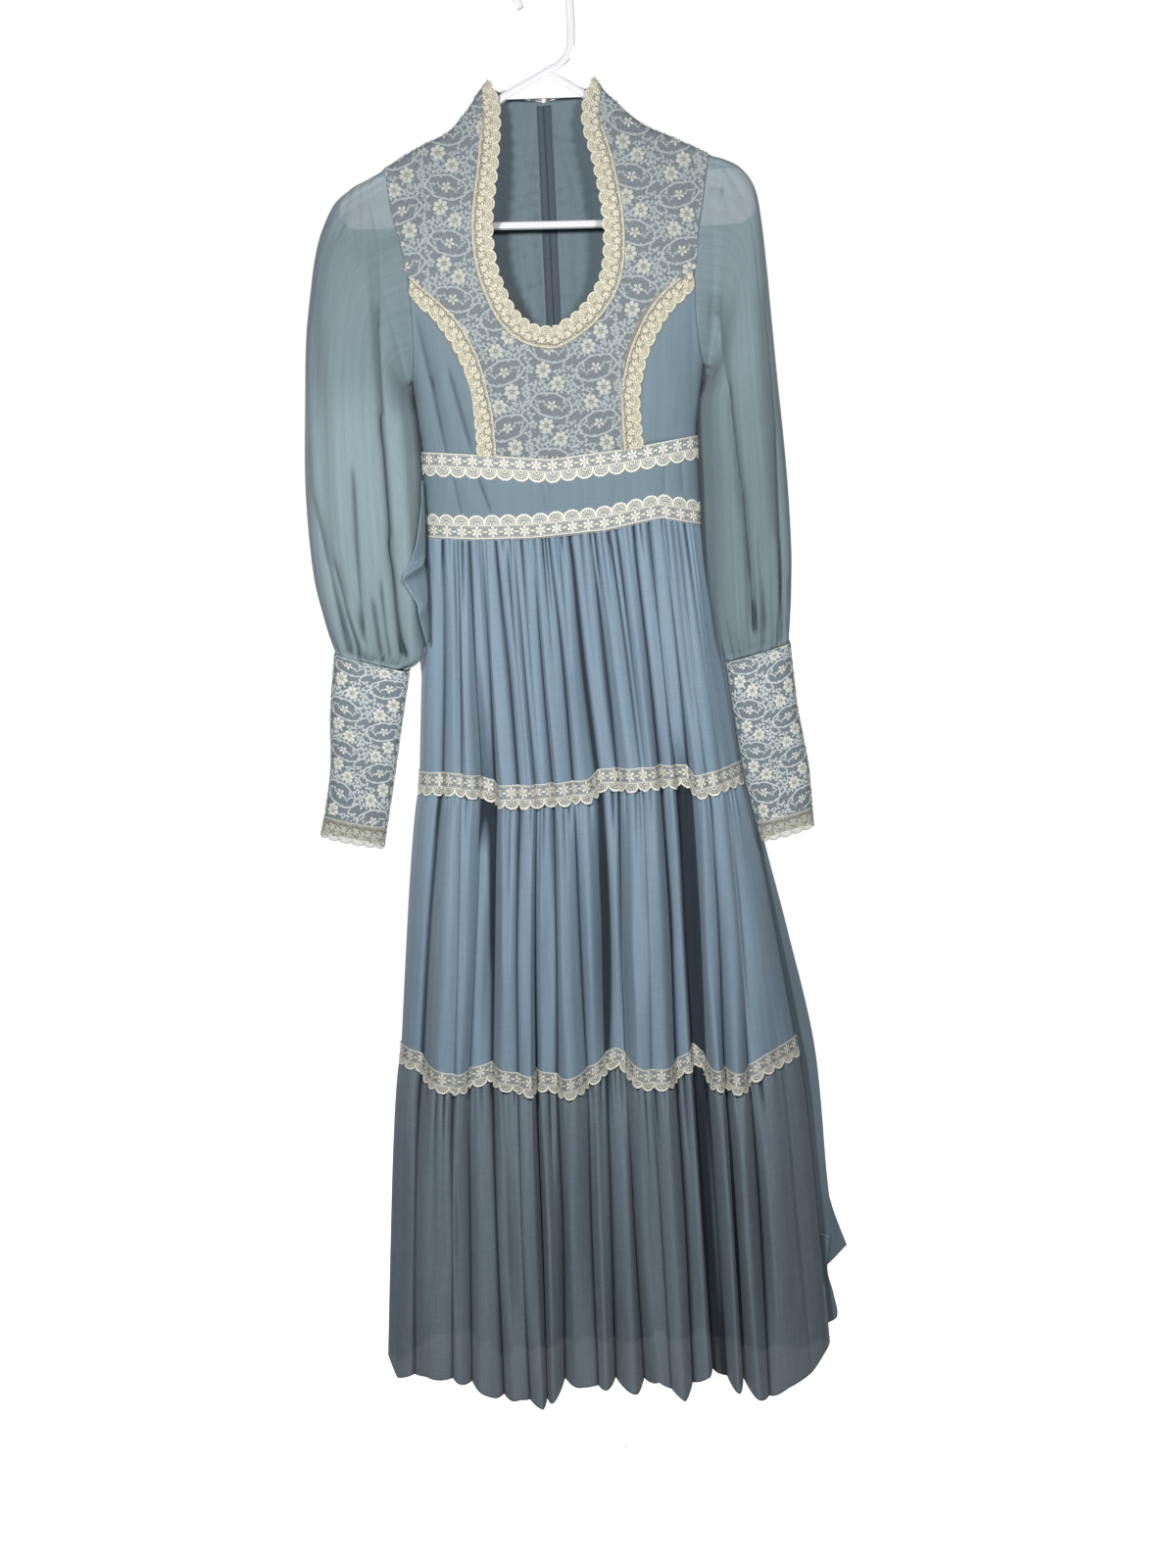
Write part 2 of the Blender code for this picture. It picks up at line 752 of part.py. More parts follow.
NECK_LACE_START = 5  # down the neck from the collar's peak
NECK_LACE_WIDTH = ((0, 3.5), (12, 9), (25, 13), (60, 16), (100, 19))
ON_YOKE = 2 * LAID_ON + 2 * LACE + 0.3
neck_left = [row[2:] for row in YOKE_LEFT[:10]]
neck_right = [row[2:] for row in YOKE_RIGHT[:9]]
neck_path = spaced([*neck_left, *neck_right[::-1]], 9, NECK_LACE_START)
scallop_edge, straight_edge = [], []
for k, (x, z, from_end) in enumerate(neck_path):
    before, after = neck_path[max(0, k - 1)], neck_path[min(len(neck_path) - 1, k + 1)]
    along = Vector((after[0] - before[0], after[1] - before[1])).normalized()
    deep = 0 if k % 2 else -2.5
    for row, away in (
        (scallop_edge, deep if 0 < k < len(neck_path) - 1 else 0),
        (straight_edge, between(NECK_LACE_WIDTH, from_end, 1)),
    ):
        out = ON_YOKE + 0.6 * max(0, 1 - from_end / 30)
        row.append(bodice_point(x + along.y * away, z - along.x * away, -1, out, SHOULDER_GAP))
shell("lace_neck", [[scallop_edge, straight_edge]], LACE, cream)


def collar_lace(name, table, side):
    """The edging along the top of a back, whose scallops stand above the cloth."""
    shares = [mix(0.16, 0.88, k / 8) for k in range(9)]
    rows = []
    for place, deep in ((-0.3, 0.3), (1, 0)):
        row = []
        for k, share in enumerate(shares if side > 0 else shares[::-1]):
            side_x, side_z, centre_z = row_at(table, place + deep * (k % 2))
            x = mix(side_x, zip_x(centre_z), share)
            z = mix(side_z, centre_z, share**0.5)
            row.append(bodice_point(x, z, 1, LAID_ON + LACE, SHOULDER_GAP))
        rows.append(row)
    shell(name, [rows], LACE, cream)


collar_lace("lace_collar_left", BACK_LEFT, -1)
collar_lace("lace_collar_right", BACK_RIGHT, 1)

OVER_SEAM = 2.0  # how far the yoke's edging reaches over the yoke beyond the table's straight edge
ON_SIDE_FRONT = 1.8
# A row per place down the yoke's side seam: straight edge x, z, scalloped edge x, z
YOKE_LACE_LEFT = (
    (-146.5, -286, -148, -303),
    (-136, -297, -139, -316),
    (-124, -308, -127, -329),
    (-104, -329, -116, -346),
    (-93, -348, -107, -364),
    (-83, -372, -98, -384),
    (-77, -401, -93, -405),
    (-73, -428, -92, -433),
    (-72, -460, -92, -460),
)
YOKE_LACE_RIGHT = (
    (132, -297, 133, -313),
    (117, -305, 124, -322),
    (100, -314, 111, -333),
    (80, -335, 98, -350),
    (66, -361, 84, -376),
    (59, -386, 78, -396),
    (56, -410, 74, -416),
    (54, -434, 74, -438),
    (53, -458, 75, -457),
)


def yoke_lace(name, table, side):
    steps = 2 * (len(table) - 1) + 2
    inner, outer = [], []
    for k in range(steps + 1):
        ax, az, bx, bz = row_at(table, (len(table) - 1) * k / steps)
        reach = 1 if k % 2 == 0 else 0.86
        inner.append(bodice_point(ax - OVER_SEAM * side, az, -1, 2 * (LAID_ON + LACE)))
        outer.append(bodice_point(mix(ax, bx, reach), mix(az, bz, reach), -1, ON_SIDE_FRONT))
    shell(name, [[inner, outer] if side > 0 else [outer, inner]], LACE, cream)


yoke_lace("lace_bib_left", YOKE_LACE_LEFT, -1)
yoke_lace("lace_bib_right", YOKE_LACE_RIGHT, 1)


# Skirt: three tiers, each a front and a back, and the lace at the foot of the upper two
def fold_columns():
    """The columns of the front, two on each ridge and one in each valley."""
    columns = [FOLDS[0]]
    for before, fold, after in zip(FOLDS, FOLDS[1:], FOLDS[2:]):
        ridge = fold[5] + fold[6] + fold[7] > max(sum(before[5:]), sum(after[5:]))
        offsets = (-RIDGE_WIDTH, RIDGE_WIDTH) if ridge else (0,)
        for offset in offsets:
            beside = after if offset > 0 else before
            xs = [mix(x, other, abs(offset)) for x, other in zip(fold[:4], beside[:4])]
            columns.append((*xs, *fold[4:]))
    columns.append(FOLDS[-1])
    return columns


FRONT_COLUMNS = fold_columns()
BACK_COLUMNS = [
    (*[FOLDS[0][k] + FOLDS[-1][k] - column[k] for k in range(4)], *column[4:]) for column in FRONT_COLUMNS
]


def skirt_row(tier, place, face):
    """One row of a tier's outer surface. The tier is 1 to 3 and the place runs from 0 at its top to 1."""
    columns = FRONT_COLUMNS if face < 0 else BACK_COLUMNS
    upper, lower = tier - 1, tier
    left = min(mix(columns[c][upper], columns[c][lower], place) for c in (0, -1))
    right = max(mix(columns[c][upper], columns[c][lower], place) for c in (0, -1))
    depth = mix(SKIRT_DEPTH[upper], SKIRT_DEPTH[lower], place) + PUFF * math.sin(math.pi * place**0.5)
    fold_depth = mix(FOLD_DEPTH[upper], FOLD_DEPTH[lower], place)
    fold_depth *= 1 if face < 0 else BACK_FOLDS
    row = []
    for column in columns:
        x = mix(column[upper], column[lower], place)
        stands = mix(column[4 + upper], column[4 + lower], place)
        top = between(SEAMS[upper], column[upper], 1) - SEAM
        bottom = between(SEAMS[lower], column[lower], 1) + (SEAM if tier < 3 else 0)
        share = 2 * (x - left) / (right - left) - 1
        across = min(1, abs(share))
        x += SIDE_PUFFS[upper] * math.sin(math.pi * place**0.5) * share**3
        y = depth * (1 - across**4) ** 0.5 + fold_depth * stands * (1 - across**10)
        row.append(Vector((x, face * max(SIDE_GAP, y), mix(top, bottom, place))))
    return row


for face, name in ((-1, "front"), (1, "back")):
    for tier, places in ((1, (0, 0.09, 0.42, 0.92, 1)), (2, (0, 0.1, 0.45, 0.927, 1)), (3, (0, 0.12, 0.5, 1))):
        rows = [skirt_row(tier, place, face) for place in places]
        shell(f"tier_{tier}_{name}", [rows], CLOTH, voile)
        if tier == 3:
            continue
        upper, lower = moved_out(rows, LACE + TIER_LACE_GAP)[-2:]
        lower = [mix(b, a, 0.16 if k % 2 else 0) for k, (a, b) in enumerate(zip(upper, lower))]
        shell(f"lace_tier_{tier}_{name}", [[upper, lower]], LACE, cream)


# Sleeves, cuffs and their lace
def ring(left_x, left_z, right_x, right_z, middle_y, half, folds, count):
    """A closed ring, from its left end round the front to its right end and back."""
    made = []
    reach = math.dist((left_x, left_z), (right_x, right_z)) / 2
    for k in range(count):
        angle = 2 * math.pi * k / count
        out = folds / 2 * (-1 if k % 2 else 1)
        share = (1 - math.cos(angle) * (1 + out / reach)) / 2
        y = middle_y - (half + out) * math.sin(angle)
        made.append(Vector((mix(left_x, right_x, share), y, mix(left_z, right_z, share))))
    return made


def armhole_ring(armhole, side, count):
    """The sleeve's first ring, beside the edges of the yoke, side front and back."""
    top, foot = armhole[0][0], armhole[-1][0]
    made = []
    for k in range(count):
        angle = 2 * math.pi * k / count
        share = (1 - math.cos(angle)) / 2
        z = mix(top, foot, share if side < 0 else 1 - share)
        x = between(armhole, z, 1)
        face = -1 if math.sin(angle) > 0 else 1
        y = 0 if k in (0, count // 2) else bodice_y(x, z, face)
        made.append(Vector((x + side * ARMHOLE_GAP, y, z)))
    return made


for name, armhole, table, cuff, side in (
    ("left", ARMHOLE_LEFT, SLEEVE_LEFT, CUFF_LEFT, -1),
    ("right", ARMHOLE_RIGHT, SLEEVE_RIGHT, CUFF_RIGHT, 1),
):
    rings = [armhole_ring(armhole, side, SLEEVE_COLUMNS)]
    rings += [ring(*row, SLEEVE_COLUMNS) for row in table]
    shell("sleeve_" + name, [rings], CLOTH, voile, closed=True)
    lace_from = (len(cuff) - 1) * (1 - WRIST_LACE)
    cuff_places = (0, 1, 2, lace_from, len(cuff) - 1)
    rings = [ring(*row_at(cuff, place), 0, CUFF_COLUMNS) for place in cuff_places]
    shell("cuff_" + name, [rings], CLOTH, voile, closed=True)
    outer = moved_out(rings, LAID_ON + LACE, closed=True)
    shell("cuff_lace_" + name, [outer[:4]], LACE, cream, closed=True)
    wrist = [[mix(a, b, 0.03) for a, b in zip(outer[3], outer[4])]]
    wrist.append([mix(a, b, 0.86 if k % 2 else 1.04) for k, (a, b) in enumerate(zip(outer[3], outer[4]))])
    shell("lace_wrist_" + name, [wrist], LACE, cream, closed=True)


# Sashes
for name, table in (("left", SASH_LEFT), ("right", SASH_RIGHT)):
    rows = []
    for outer_z, inner_z, outer_x, outer_y, middle_x, middle_y, inner_x, inner_y in table:
        middle_z = (outer_z + inner_z) / 2
        rows.append(
            [
                Vector((outer_x, outer_y, outer_z)),
                Vector((middle_x, middle_y, middle_z)),
                Vector((inner_x, inner_y, inner_z)),
            ]
        )
    shell("sash_" + name, [rows], CLOTH, voile)


# Back zip: tape inside the backs, slider and pull tab outside
tape = []
for z in (-120, *[row[2] for row in BACK_LEFT[1:]], -540):
    middle = zip_x(z)
    across = (TAPE_HALF, TAPE_HALF / 2, 0, -TAPE_HALF / 2, -TAPE_HALF)
    tape.append([bodice_point(middle + x, z, 1, -CLOTH - LAID_ON) for x in across])
shell("zip_tape", [tape], LACE, voile)


slider_at = bodice_point(zip_x(SLIDER_Z), SLIDER_Z, 1, 0.6)
slider_up = bodice_point(slider_at.x, SLIDER_Z + 8, 1) - bodice_point(slider_at.x, SLIDER_Z - 8, 1)
slider_up.x = 0
slider_up.normalize()
slider_out = Vector((0, slider_up.z, -slider_up.y))


def from_behind(x, up, out):
    """A point beside the slider, by its distances to the right, up and out along the back's slope."""
    return slider_at + Vector((x, 0, 0)) + up * slider_up + out * slider_out


def from_side(out, up, x):
    return from_behind(x, up, out)


PLATE = ((0, 6), (2.2, 6), (2.2, -7), (0, -7))
ARCH = ((2, 4.2), (6, 4.2), (7.2, 3), (7.2, -5), (6, -6.2), (2, -6.2), (2, -4.8), (5.6, -4.8), (5.6, 2.8), (2, 2.8))
slider = node("zip_slider", prism("zip_slider", PLATE, from_side, -4, 4), metal)
arch = bpy.data.objects.new("zip_arch", prism("zip_arch", ARCH, from_side, -1.2, 1.2))
arch.hide_render = True
arch.display_type = "WIRE"
helpers.objects.link(arch)
joined = slider.modifiers.new("arch", "BOOLEAN")
joined.operation = "UNION"
joined.solver = "EXACT"
joined.object = arch

TAB = ((-3, -3.2), (3, -3.2), (3.6, -12), (3.6, -25), (2.4, -27), (-2.4, -27), (-3.6, -25), (-3.6, -12))
TAB_HOLE = ((-2, -4.4), (2, -4.4), (2, -9.6), (-2, -9.6))
pull = node("zip_pull", prism("zip_pull", TAB, from_behind, 4, 5.2), metal)
hole = bpy.data.objects.new("pull_hole", prism("pull_hole", TAB_HOLE, from_behind, 3, 6.2))
hole.hide_render = True
hole.display_type = "WIRE"
helpers.objects.link(hole)
cut = pull.modifiers.new("hole", "BOOLEAN")
cut.operation = "DIFFERENCE"
cut.solver = "EXACT"
cut.object = hole
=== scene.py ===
"""The looks of a gathered, tiered prairie maxi dress that hangs on a tubular hanger.

Sizes are in millimetres until a mesh is made. X is to the right as seen from the front, Y is away
from the front and Z is up, from the inside of the crown of the hanger's hook.
"""

import math

import bpy
import numpy as np
from mathutils import Matrix, Vector


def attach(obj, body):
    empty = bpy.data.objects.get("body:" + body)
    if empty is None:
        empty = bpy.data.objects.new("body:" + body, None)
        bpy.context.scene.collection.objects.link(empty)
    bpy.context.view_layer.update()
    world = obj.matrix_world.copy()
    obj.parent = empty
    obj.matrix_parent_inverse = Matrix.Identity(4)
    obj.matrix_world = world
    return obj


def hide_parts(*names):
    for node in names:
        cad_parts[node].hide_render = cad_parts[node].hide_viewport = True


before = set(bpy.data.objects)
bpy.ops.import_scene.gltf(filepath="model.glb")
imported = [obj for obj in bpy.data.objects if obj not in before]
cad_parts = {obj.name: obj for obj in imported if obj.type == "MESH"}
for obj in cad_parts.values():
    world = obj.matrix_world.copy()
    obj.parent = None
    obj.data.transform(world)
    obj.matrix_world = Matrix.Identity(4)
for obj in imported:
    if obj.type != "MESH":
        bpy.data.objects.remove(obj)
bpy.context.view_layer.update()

MM = 0.001
TURN = 2 * math.pi

# Gaps between the pieces
SEAM = 0.15
ARMHOLE_GAP = 0.2
SIDE_GAP = 0.6
SHOULDER_GAP = 0.5

# Layers, out from the cloth's own surface
NET_OUT = 0.9
MOTIF_OUT = 1.2
EDGING_NET_OUT = 1.7
EDGING_OUT = 2.0
WALL = 0.5

# Painted shade of the cloth's folds: how wide and how deep
FOLD_REACHES = ((5, 2.8), (13, 9.0))

# Bodice
SHOULDER_ROUND = 6.4
SHOULDER_REACH = 90.0
SECTION_POWER = 2.5
ZIP_X_TOP = -5.0
ZIP_X_WAIST = -9.5
COLLAR_BACK_Z = -117.0
WAIST_Z = -470.0
MIDRIFF_Z = -500.0
MIDRIFF_SIDES = (-149.5, 131.0)
NECK_ROWS = 10  # rows of the yoke down to the point of the neck
TAPE_TOP = -120.0
TAPE_END = -538.0
TAPE_HALF = 7.6

# Edgings: widths, and about how long a repeat is
WAIST_LACE = 24.0
NECK_LACE = 21.5
YOKE_LACE = 20.0
COLLAR_LACE = 15.0
DAISY_REPEAT = 15.8
BEAD_REPEAT = 13.2
COLLAR_REPEAT = 11.0
WRIST_REPEAT = 13.0

# Shoulder line from the armhole to the collar's peak: x, z
SHOULDER_LEFT = (
    *((-167, -178), (-144, -166), (-123, -156), (-103, -148)),
    *((-91, -138), (-79, -125), (-69, -111), (-58, -101)),
)
SHOULDER_RIGHT = (
    *((156, -182), (135, -171), (117, -162), (95, -152)),
    *((76, -137), (66, -127), (57, -118), (46, -104)),
)

# Bodice section: z, left x, right x, front depth, back depth
BODICE = (
    (-95, -186, 172, 20, 46),
    (-180, -186, 172, 32, 42),
    (-300, -186, 172, 40, 38),
    (-345, -172, 158, 42, 38),
    (-386, -154, 141, 43, 38),
    (-430, -151, 134, 44, 40),
    (-457, -149.2, 131, 44, 40),
    (-550, -150, 131, 42, 40),
)

# Front yoke, a row per height: outer x, outer z, neck or centre x, neck or centre z
YOKE_LEFT = (
    (-167, -178, -58, -101),
    (-165, -192, -50, -124),
    (-163, -216, -50, -150),
    (-158, -240, -55, -190),
    (-153, -262, -63, -240),
    (-149, -288, -62, -275),
    (-126, -310, -56, -300),
    (-106, -331, -45, -325),
    (-95, -350, -29, -340),
    (-85, -373, -9, -345),
    (-79, -401, -9, -388),
    (-75, -430, -9, -430),
    (-74, -462, -9, -471),
)
YOKE_RIGHT = (
    (156, -182, 46, -104),
    (153, -196, 35, -128),
    (149, -216, 33, -152),
    (143, -244, 41, -190),
    (139, -266, 47, -235),
    (135, -296, 47, -270),
    (103, -316, 42, -296),
    (82, -338, 31, -315),
    (68, -362, 14, -332),
    (61, -386, -9, -345),
    (59, -408, -9, -388),
    (58, -432, -9, -430),
    (56, -459, -9, -471),
)

# Side fronts, a row per height from the underarm point of the yoke: side x, side z, seam x, seam z
SIDE_LEFT = (
    (-149, -293, -147, -290),
    (-148, -311, -126, -310),
    (-148, -332, -106, -331),
    (-149, -352, -95, -350),
    (-151, -371, -85, -373),
    (-154, -387, -79, -401),
    (-151, -428, -75, -430),
    (-148, -457, -74, -462),
)
SIDE_RIGHT = (
    (134, -301, 132, -297.8),
    (134, -318, 103, -316),
    (134, -338, 82, -338),
    (136, -359, 68, -362),
    (138, -374, 61, -386),
    (141, -387, 59, -408),
    (134, -430, 58, -432),
    (130, -456, 56, -459),
)

# Backs, a row per height: side x, side z, centre z
BACK_LEFT = (
    (-58, -102, -117),
    (-69, -111, -128),
    (-79, -125, -141),
    (-91, -138, -153),
    (-103, -148, -164),
    (-123, -156, -176),
    (-144, -166, -190),
    (-167, -178, -208),
    (-166, -186, -214),
    (-163, -220, -240),
    (-155, -259, -272),
    (-151, -298, -308),
    (-150, -335, -345),
    (-151, -364, -372),
    (-154, -387, -396),
    (-151, -428, -434),
    (-148, -457, -470),
)
BACK_RIGHT = (
    (46, -105, -117),
    (57, -118, -128),
    (66, -127, -141),
    (76, -137, -153),
    (95, -152, -164),
    (117, -162, -176),
    (135, -171, -190),
    (156, -182, -208),
    (155, -190, -214),
    (149, -222, -240),
    (141, -260, -272),
    (136, -298, -308),
    (134, -335, -345),
    (136, -362, -372),
    (141, -387, -396),
    (134, -430, -434),
    (130, -456, -470),
)

# Armholes as the sleeve meets them: z, x
ARMHOLE_LEFT = (
    *((-178, -167), (-220, -163), (-260, -155), (-292, -151)),
    *((-335, -150), (-364, -151), (-386, -154)),
)
ARMHOLE_RIGHT = ((-182, 156), (-220, 150), (-262, 141), (-298, 136), (-335, 135), (-362, 137), (-386, 141))

# Seams round the body: x, z
MIDRIFF_TOP = ((-150, -457), (-80, -465), (-20, -472), (60, -466), (132, -456))
MIDRIFF_BOTTOM = ((-153, -541), (-100, -546), (-40, -547.5), (32, -544), (62, -539), (88, -535), (132, -545))
TIER_1_SEAM = (
    (-177, -803),
    (-140, -801),
    (-115, -806),
    (-91, -816),
    (-60, -818),
    (0, -816),
    (15, -807),
    (75, -806),
    (105, -810),
    (112, -820),
    (130, -817),
    (162, -812),
)
TIER_2_SEAM = (
    (-218, -1093),
    (-195, -1098),
    (-185, -1108),
    (-155, -1115),
    (-118, -1107),
    (-85, -1116),
    (-43, -1124),
    (-20, -1120),
    (14, -1100),
    (40, -1118),
    (73, -1119),
    (96, -1103),
    (112, -1123),
    (145, -1131),
    (168, -1118),
    (209, -1111),
)
HEM = (
    (-257, -1433),
    (-246, -1450),
    (-211, -1434),
    (-179, -1437),
    (-160, -1445),
    (-135, -1460),
    (-110, -1457),
    (-83, -1469),
    (-60, -1453),
    (-15, -1454),
    (17, -1463),
    (39, -1447),
    (66, -1468),
    (93, -1452),
    (115, -1463),
    (137, -1470),
    (159, -1481),
    (180, -1472),
    (207, -1468),
    (232, -1449),
)
SEAMS = (MIDRIFF_BOTTOM, TIER_1_SEAM, TIER_2_SEAM, HEM)

# Skirt folds, a row per ridge or valley of the front from left to right:
# x at the waist, at tier 1's seam, at tier 2's seam and at the hem, then how far out it stands at each
FOLDS = (
    (-153, -177, -218, -257, 0.00, 0.00, 0.00, 0.00),
    (-142, -166, -203, -237, 0.70, 0.60, 0.40, 0.55),
    (-131, -150, -193, -225, 0.50, 0.45, 0.25, 0.40),
    (-124, -137, -172, -200, 0.90, 0.80, 0.90, 0.80),
    (-117, -130, -158, -182, 0.50, 0.60, 0.75, 0.60),
    (-111, -119, -151, -168, 0.90, 0.75, 0.85, 0.80),
    (-104, -110, -143, -162, 0.20, 0.08, 0.40, 0.45),
    (-98, -102, -132, -145, 0.60, 0.15, 0.50, 0.80),
    (-93, -95, -118, -128, 0.20, 0.10, 0.35, 0.50),
    (-85, -85, -103, -112, 0.95, 0.95, 0.85, 0.90),
    (-77, -71, -91, -100, 0.60, 0.70, 0.75, 0.70),
    (-69, -62, -83, -91, 0.90, 0.95, 0.95, 0.95),
    (-60, -54, -73, -82, 0.30, 0.55, 0.12, 0.45),
    (-51, -44, -62, -72, 0.90, 0.95, 0.50, 0.85),
    (-42, -36, -50, -62, 0.30, 0.50, 0.45, 0.15),
    (-33, -26, -30, -37, 0.90, 0.95, 0.90, 0.65),
    (-24, -15, -19, -26, 0.35, 0.60, 0.35, 0.55),
    (-15, -3, -9, -16, 0.85, 0.85, 0.45, 0.80),
    (-5, 10, 2, -7, 0.40, 0.10, 0.15, 0.15),
    (5, 21, 13, 6, 0.80, 0.30, 0.30, 0.75),
    (17, 32, 23, 24, 0.15, 0.15, 0.35, 0.20),
    (27, 46, 36, 41, 0.85, 0.85, 0.95, 0.85),
    (38, 56, 48, 52, 0.50, 0.75, 0.85, 0.75),
    (48, 65, 60, 63, 0.90, 0.90, 0.95, 0.95),
    (59, 75, 75, 76, 0.30, 0.10, 0.30, 0.35),
    (68, 82, 84, 86, 0.85, 0.60, 0.50, 0.60),
    (76, 91, 93, 99, 0.30, 0.05, 0.08, 0.08),
    (83, 98, 100, 107, 0.70, 0.15, 0.20, 0.20),
    (90, 106, 107, 114, 0.25, 0.10, 0.15, 0.15),
    (97, 114, 116, 122, 0.90, 0.85, 0.95, 0.85),
    (103, 123, 126, 132, 0.50, 0.70, 0.30, 0.10),
    (109, 131, 135, 142, 0.85, 0.85, 0.95, 0.90),
    (115, 140, 151, 158, 0.50, 0.60, 0.45, 0.50),
    (120, 147, 167, 180, 0.70, 0.60, 0.60, 0.65),
    (125, 153, 186, 206, 0.40, 0.35, 0.35, 0.40),
    (132, 162, 209, 232, 0.00, 0.00, 0.00, 0.00),
)
SKIRT_DEPTH = (38, 24, 26, 30)
FOLD_DEPTH = (6, 32, 50, 52)
BACK_FOLDS = 0.7
PUFF = 4.0
SIDE_PUFFS = (0, 3.5, 4)

# Sleeves, a row per ring from the armhole down:
# left end x, z, right end x, z, middle y, half depth
SLEEVE_LEFT = (
    (-183, -186, -157, -388, -1, 25),
    (-201, -195, -160, -390, -2, 29),
    (-222, -214, -162, -394, -4, 33),
    (-240, -256, -162, -399, -8, 36),
    (-252, -322, -161, -410, -15, 37),
    (-261, -405, -158, -430, -23, 37),
    (-267, -490, -157, -498, -29, 35),
    (-266, -570, -158, -573, -32, 33),
    (-259, -616, -160, -636, -33, 29),
    (-254, -639, -160, -664, -33, 24),
    (-250, -652.3, -174, -674.8, -33, 17),
)
SLEEVE_RIGHT = (
    (145, -388, 170, -186, -1, 25),
    (148, -390, 187, -196, -2, 29),
    (149, -394, 200, -216, -4, 33),
    (149, -399, 205, -250, -8, 36),
    (145, -410, 209, -318, -15, 37),
    (140, -430, 213, -402, -23, 37),
    (139, -500, 218, -490, -30, 35),
    (138, -575, 220, -570, -33, 33),
    (139, -643, 218, -626, -33, 29),
    (146, -683.3, 214, -667.3, -33, 17),
)
CUFF_LEFT = (
    (-249, -653, -176, -675.5, -33, 15),
    (-258, -714, -188, -730, -33, 15),
    (-263, -775, -201, -791, -33, 14),
    (-278, -841, -216, -857, -33, 13),
)
CUFF_RIGHT = (
    (149, -684, 213, -668, -33, 15),
    (156, -746, 218, -734, -33, 15),
    (164, -808, 227, -796, -33, 14),
    (178, -873, 230, -860, -33, 13),
)
WRIST_LACE = 0.14

# Sashes, a row per height: z of the outer edge, z of the inner edge, outer x, y, middle x, y, inner x, y
SASH_LEFT = (
    (-496, -496, -149.9, -4, -149.9, 4, -148.4, 12),
    (-548, -545, -158, -8, -160, 6, -157, 16),
    (-583, -575, -163, -7, -168, 6, -160, 20),
    (-606, -600, -160, 0, -167, 10, -162, 24),
    (-660, -660, -165, 16, -168, 27, -158, 38),
    (-790, -790, -172, 30, -166, 46, -146, 64),
    (-950, -950, -188, 38, -176, 58, -152, 76),
    (-1090, -1090, -204, 44, -192, 66, -166, 86),
    (-1340, -1310, -226, 56, -214, 78, -186, 96),
)
SASH_RIGHT = (
    (-496, -496, 132.7, -2, 132.7, 6, 131.5, 14),
    (-560, -560, 140, 6, 138, 22, 128, 36),
    (-680, -680, 152, 8, 147, 28, 132, 48),
    (-800, -800, 168, 6, 160, 30, 144, 52),
    (-872, -872, 181, 5, 171, 30, 154, 56),
    (-980, -980, 204, 4, 191, 30, 172, 60),
    (-1110, -1110, 228, 4, 215, 34, 194, 66),
    (-1255, -1255, 236, 4, 224, 34, 203, 66),
    (-1290, -1290, 240, 2, 227, 32, 209, 62),
    (-1336, -1396, 254.5, 0, 236, 20, 214, 46),
)
# Where they crumple, a row per height: z of the outer edge, z of the inner edge, outer x, y, inner x, y
SASH_LEFT_CRUMPLE = (
    (-486, -484, -149.5, -26, -148, -24),
    (-512, -508, -151.5, -38, -148, -27),
    (-545, -540, -157, -50, -149, -32),
    (-566, -558, -165, -58, -150, -36),
    (-578, -566, -171.5, -64, -151, -54),
    (-587, -576, -170.5, -58, -150, -38),
    (-606, -600, -161, -54, -150, -40),
    (-614, -610, -160, -56, -151, -46),
    (-626, -622, -158.5, -51, -151, -40),
    (-648, -646, -155, -43, -152, -38),
)
SASH_RIGHT_CRUMPLE = (
    (-1330, -1330, 238, 12, 212, 38),
    (-1370, -1370, 234, 16, 213, 37),
    (-1400, -1400, 240, 19, 216, 35),
    (-1428, -1428, 244, 21, 220, 34),
    (-1438, -1438, 234, 24, 222, 34),
    (-1446, -1446, 225, 27, 223, 34),
)

# The yoke's edging, a row per place down its side seam: straight edge x, z, scalloped edge x, z
YOKE_LACE_LEFT = (
    (-146.5, -286, -148, -303),
    (-136, -297, -139, -316),
    (-124, -308, -127, -329),
    (-104, -329, -116, -346),
    (-93, -348, -107, -364),
    (-83, -372, -98, -384),
    (-77, -401, -93, -405),
    (-73, -428, -92, -433),
    (-72, -466, -92, -464),
)
YOKE_LACE_RIGHT = (
    (132, -297, 133, -313),
    (117, -305, 124, -322),
    (100, -314, 111, -333),
    (80, -335, 98, -350),
    (66, -361, 84, -376),
    (59, -386, 78, -396),
    (56, -410, 74, -416),
    (54, -434, 74, -438),
    (53, -467, 75, -465),
)
NECK_LACE_WIDTH = ((0, 6), (12, 11), (25, 15), (60, 18), (100, 20))


# Numbers and tables
def mix(a, b, share):
    return a + (b - a) * share


def rows_at(rows, places):
    """Rows of a table at places counted in rows, on a smooth curve through them all."""
    rows = np.asarray(rows, float)
    places = np.clip(np.asarray(places, float), 0, len(rows) - 1)
    low = np.minimum(places.astype(int), len(rows) - 2)
    t = (places - low)[..., None]
    before, a, b = rows[np.maximum(low - 1, 0)], rows[low], rows[low + 1]
    after = rows[np.minimum(low + 2, len(rows) - 1)]
    bend = 2 * before - 5 * a + 4 * b - after
    twist = 3 * a - before - 3 * b + after
    return 0.5 * (2 * a + (b - before) * t + bend * t**2 + twist * t**3)


def smoothed(rows, count):
    return rows_at(rows, np.linspace(0, len(rows) - 1, count))


def level(line, x):
    """The height of a seam at each x."""
    line = np.asarray(line, float)
    return np.interp(x, line[:, 0], line[:, 1])


def unit(vectors):
    return vectors / np.maximum(np.linalg.norm(vectors, axis=-1, keepdims=True), 1e-9)


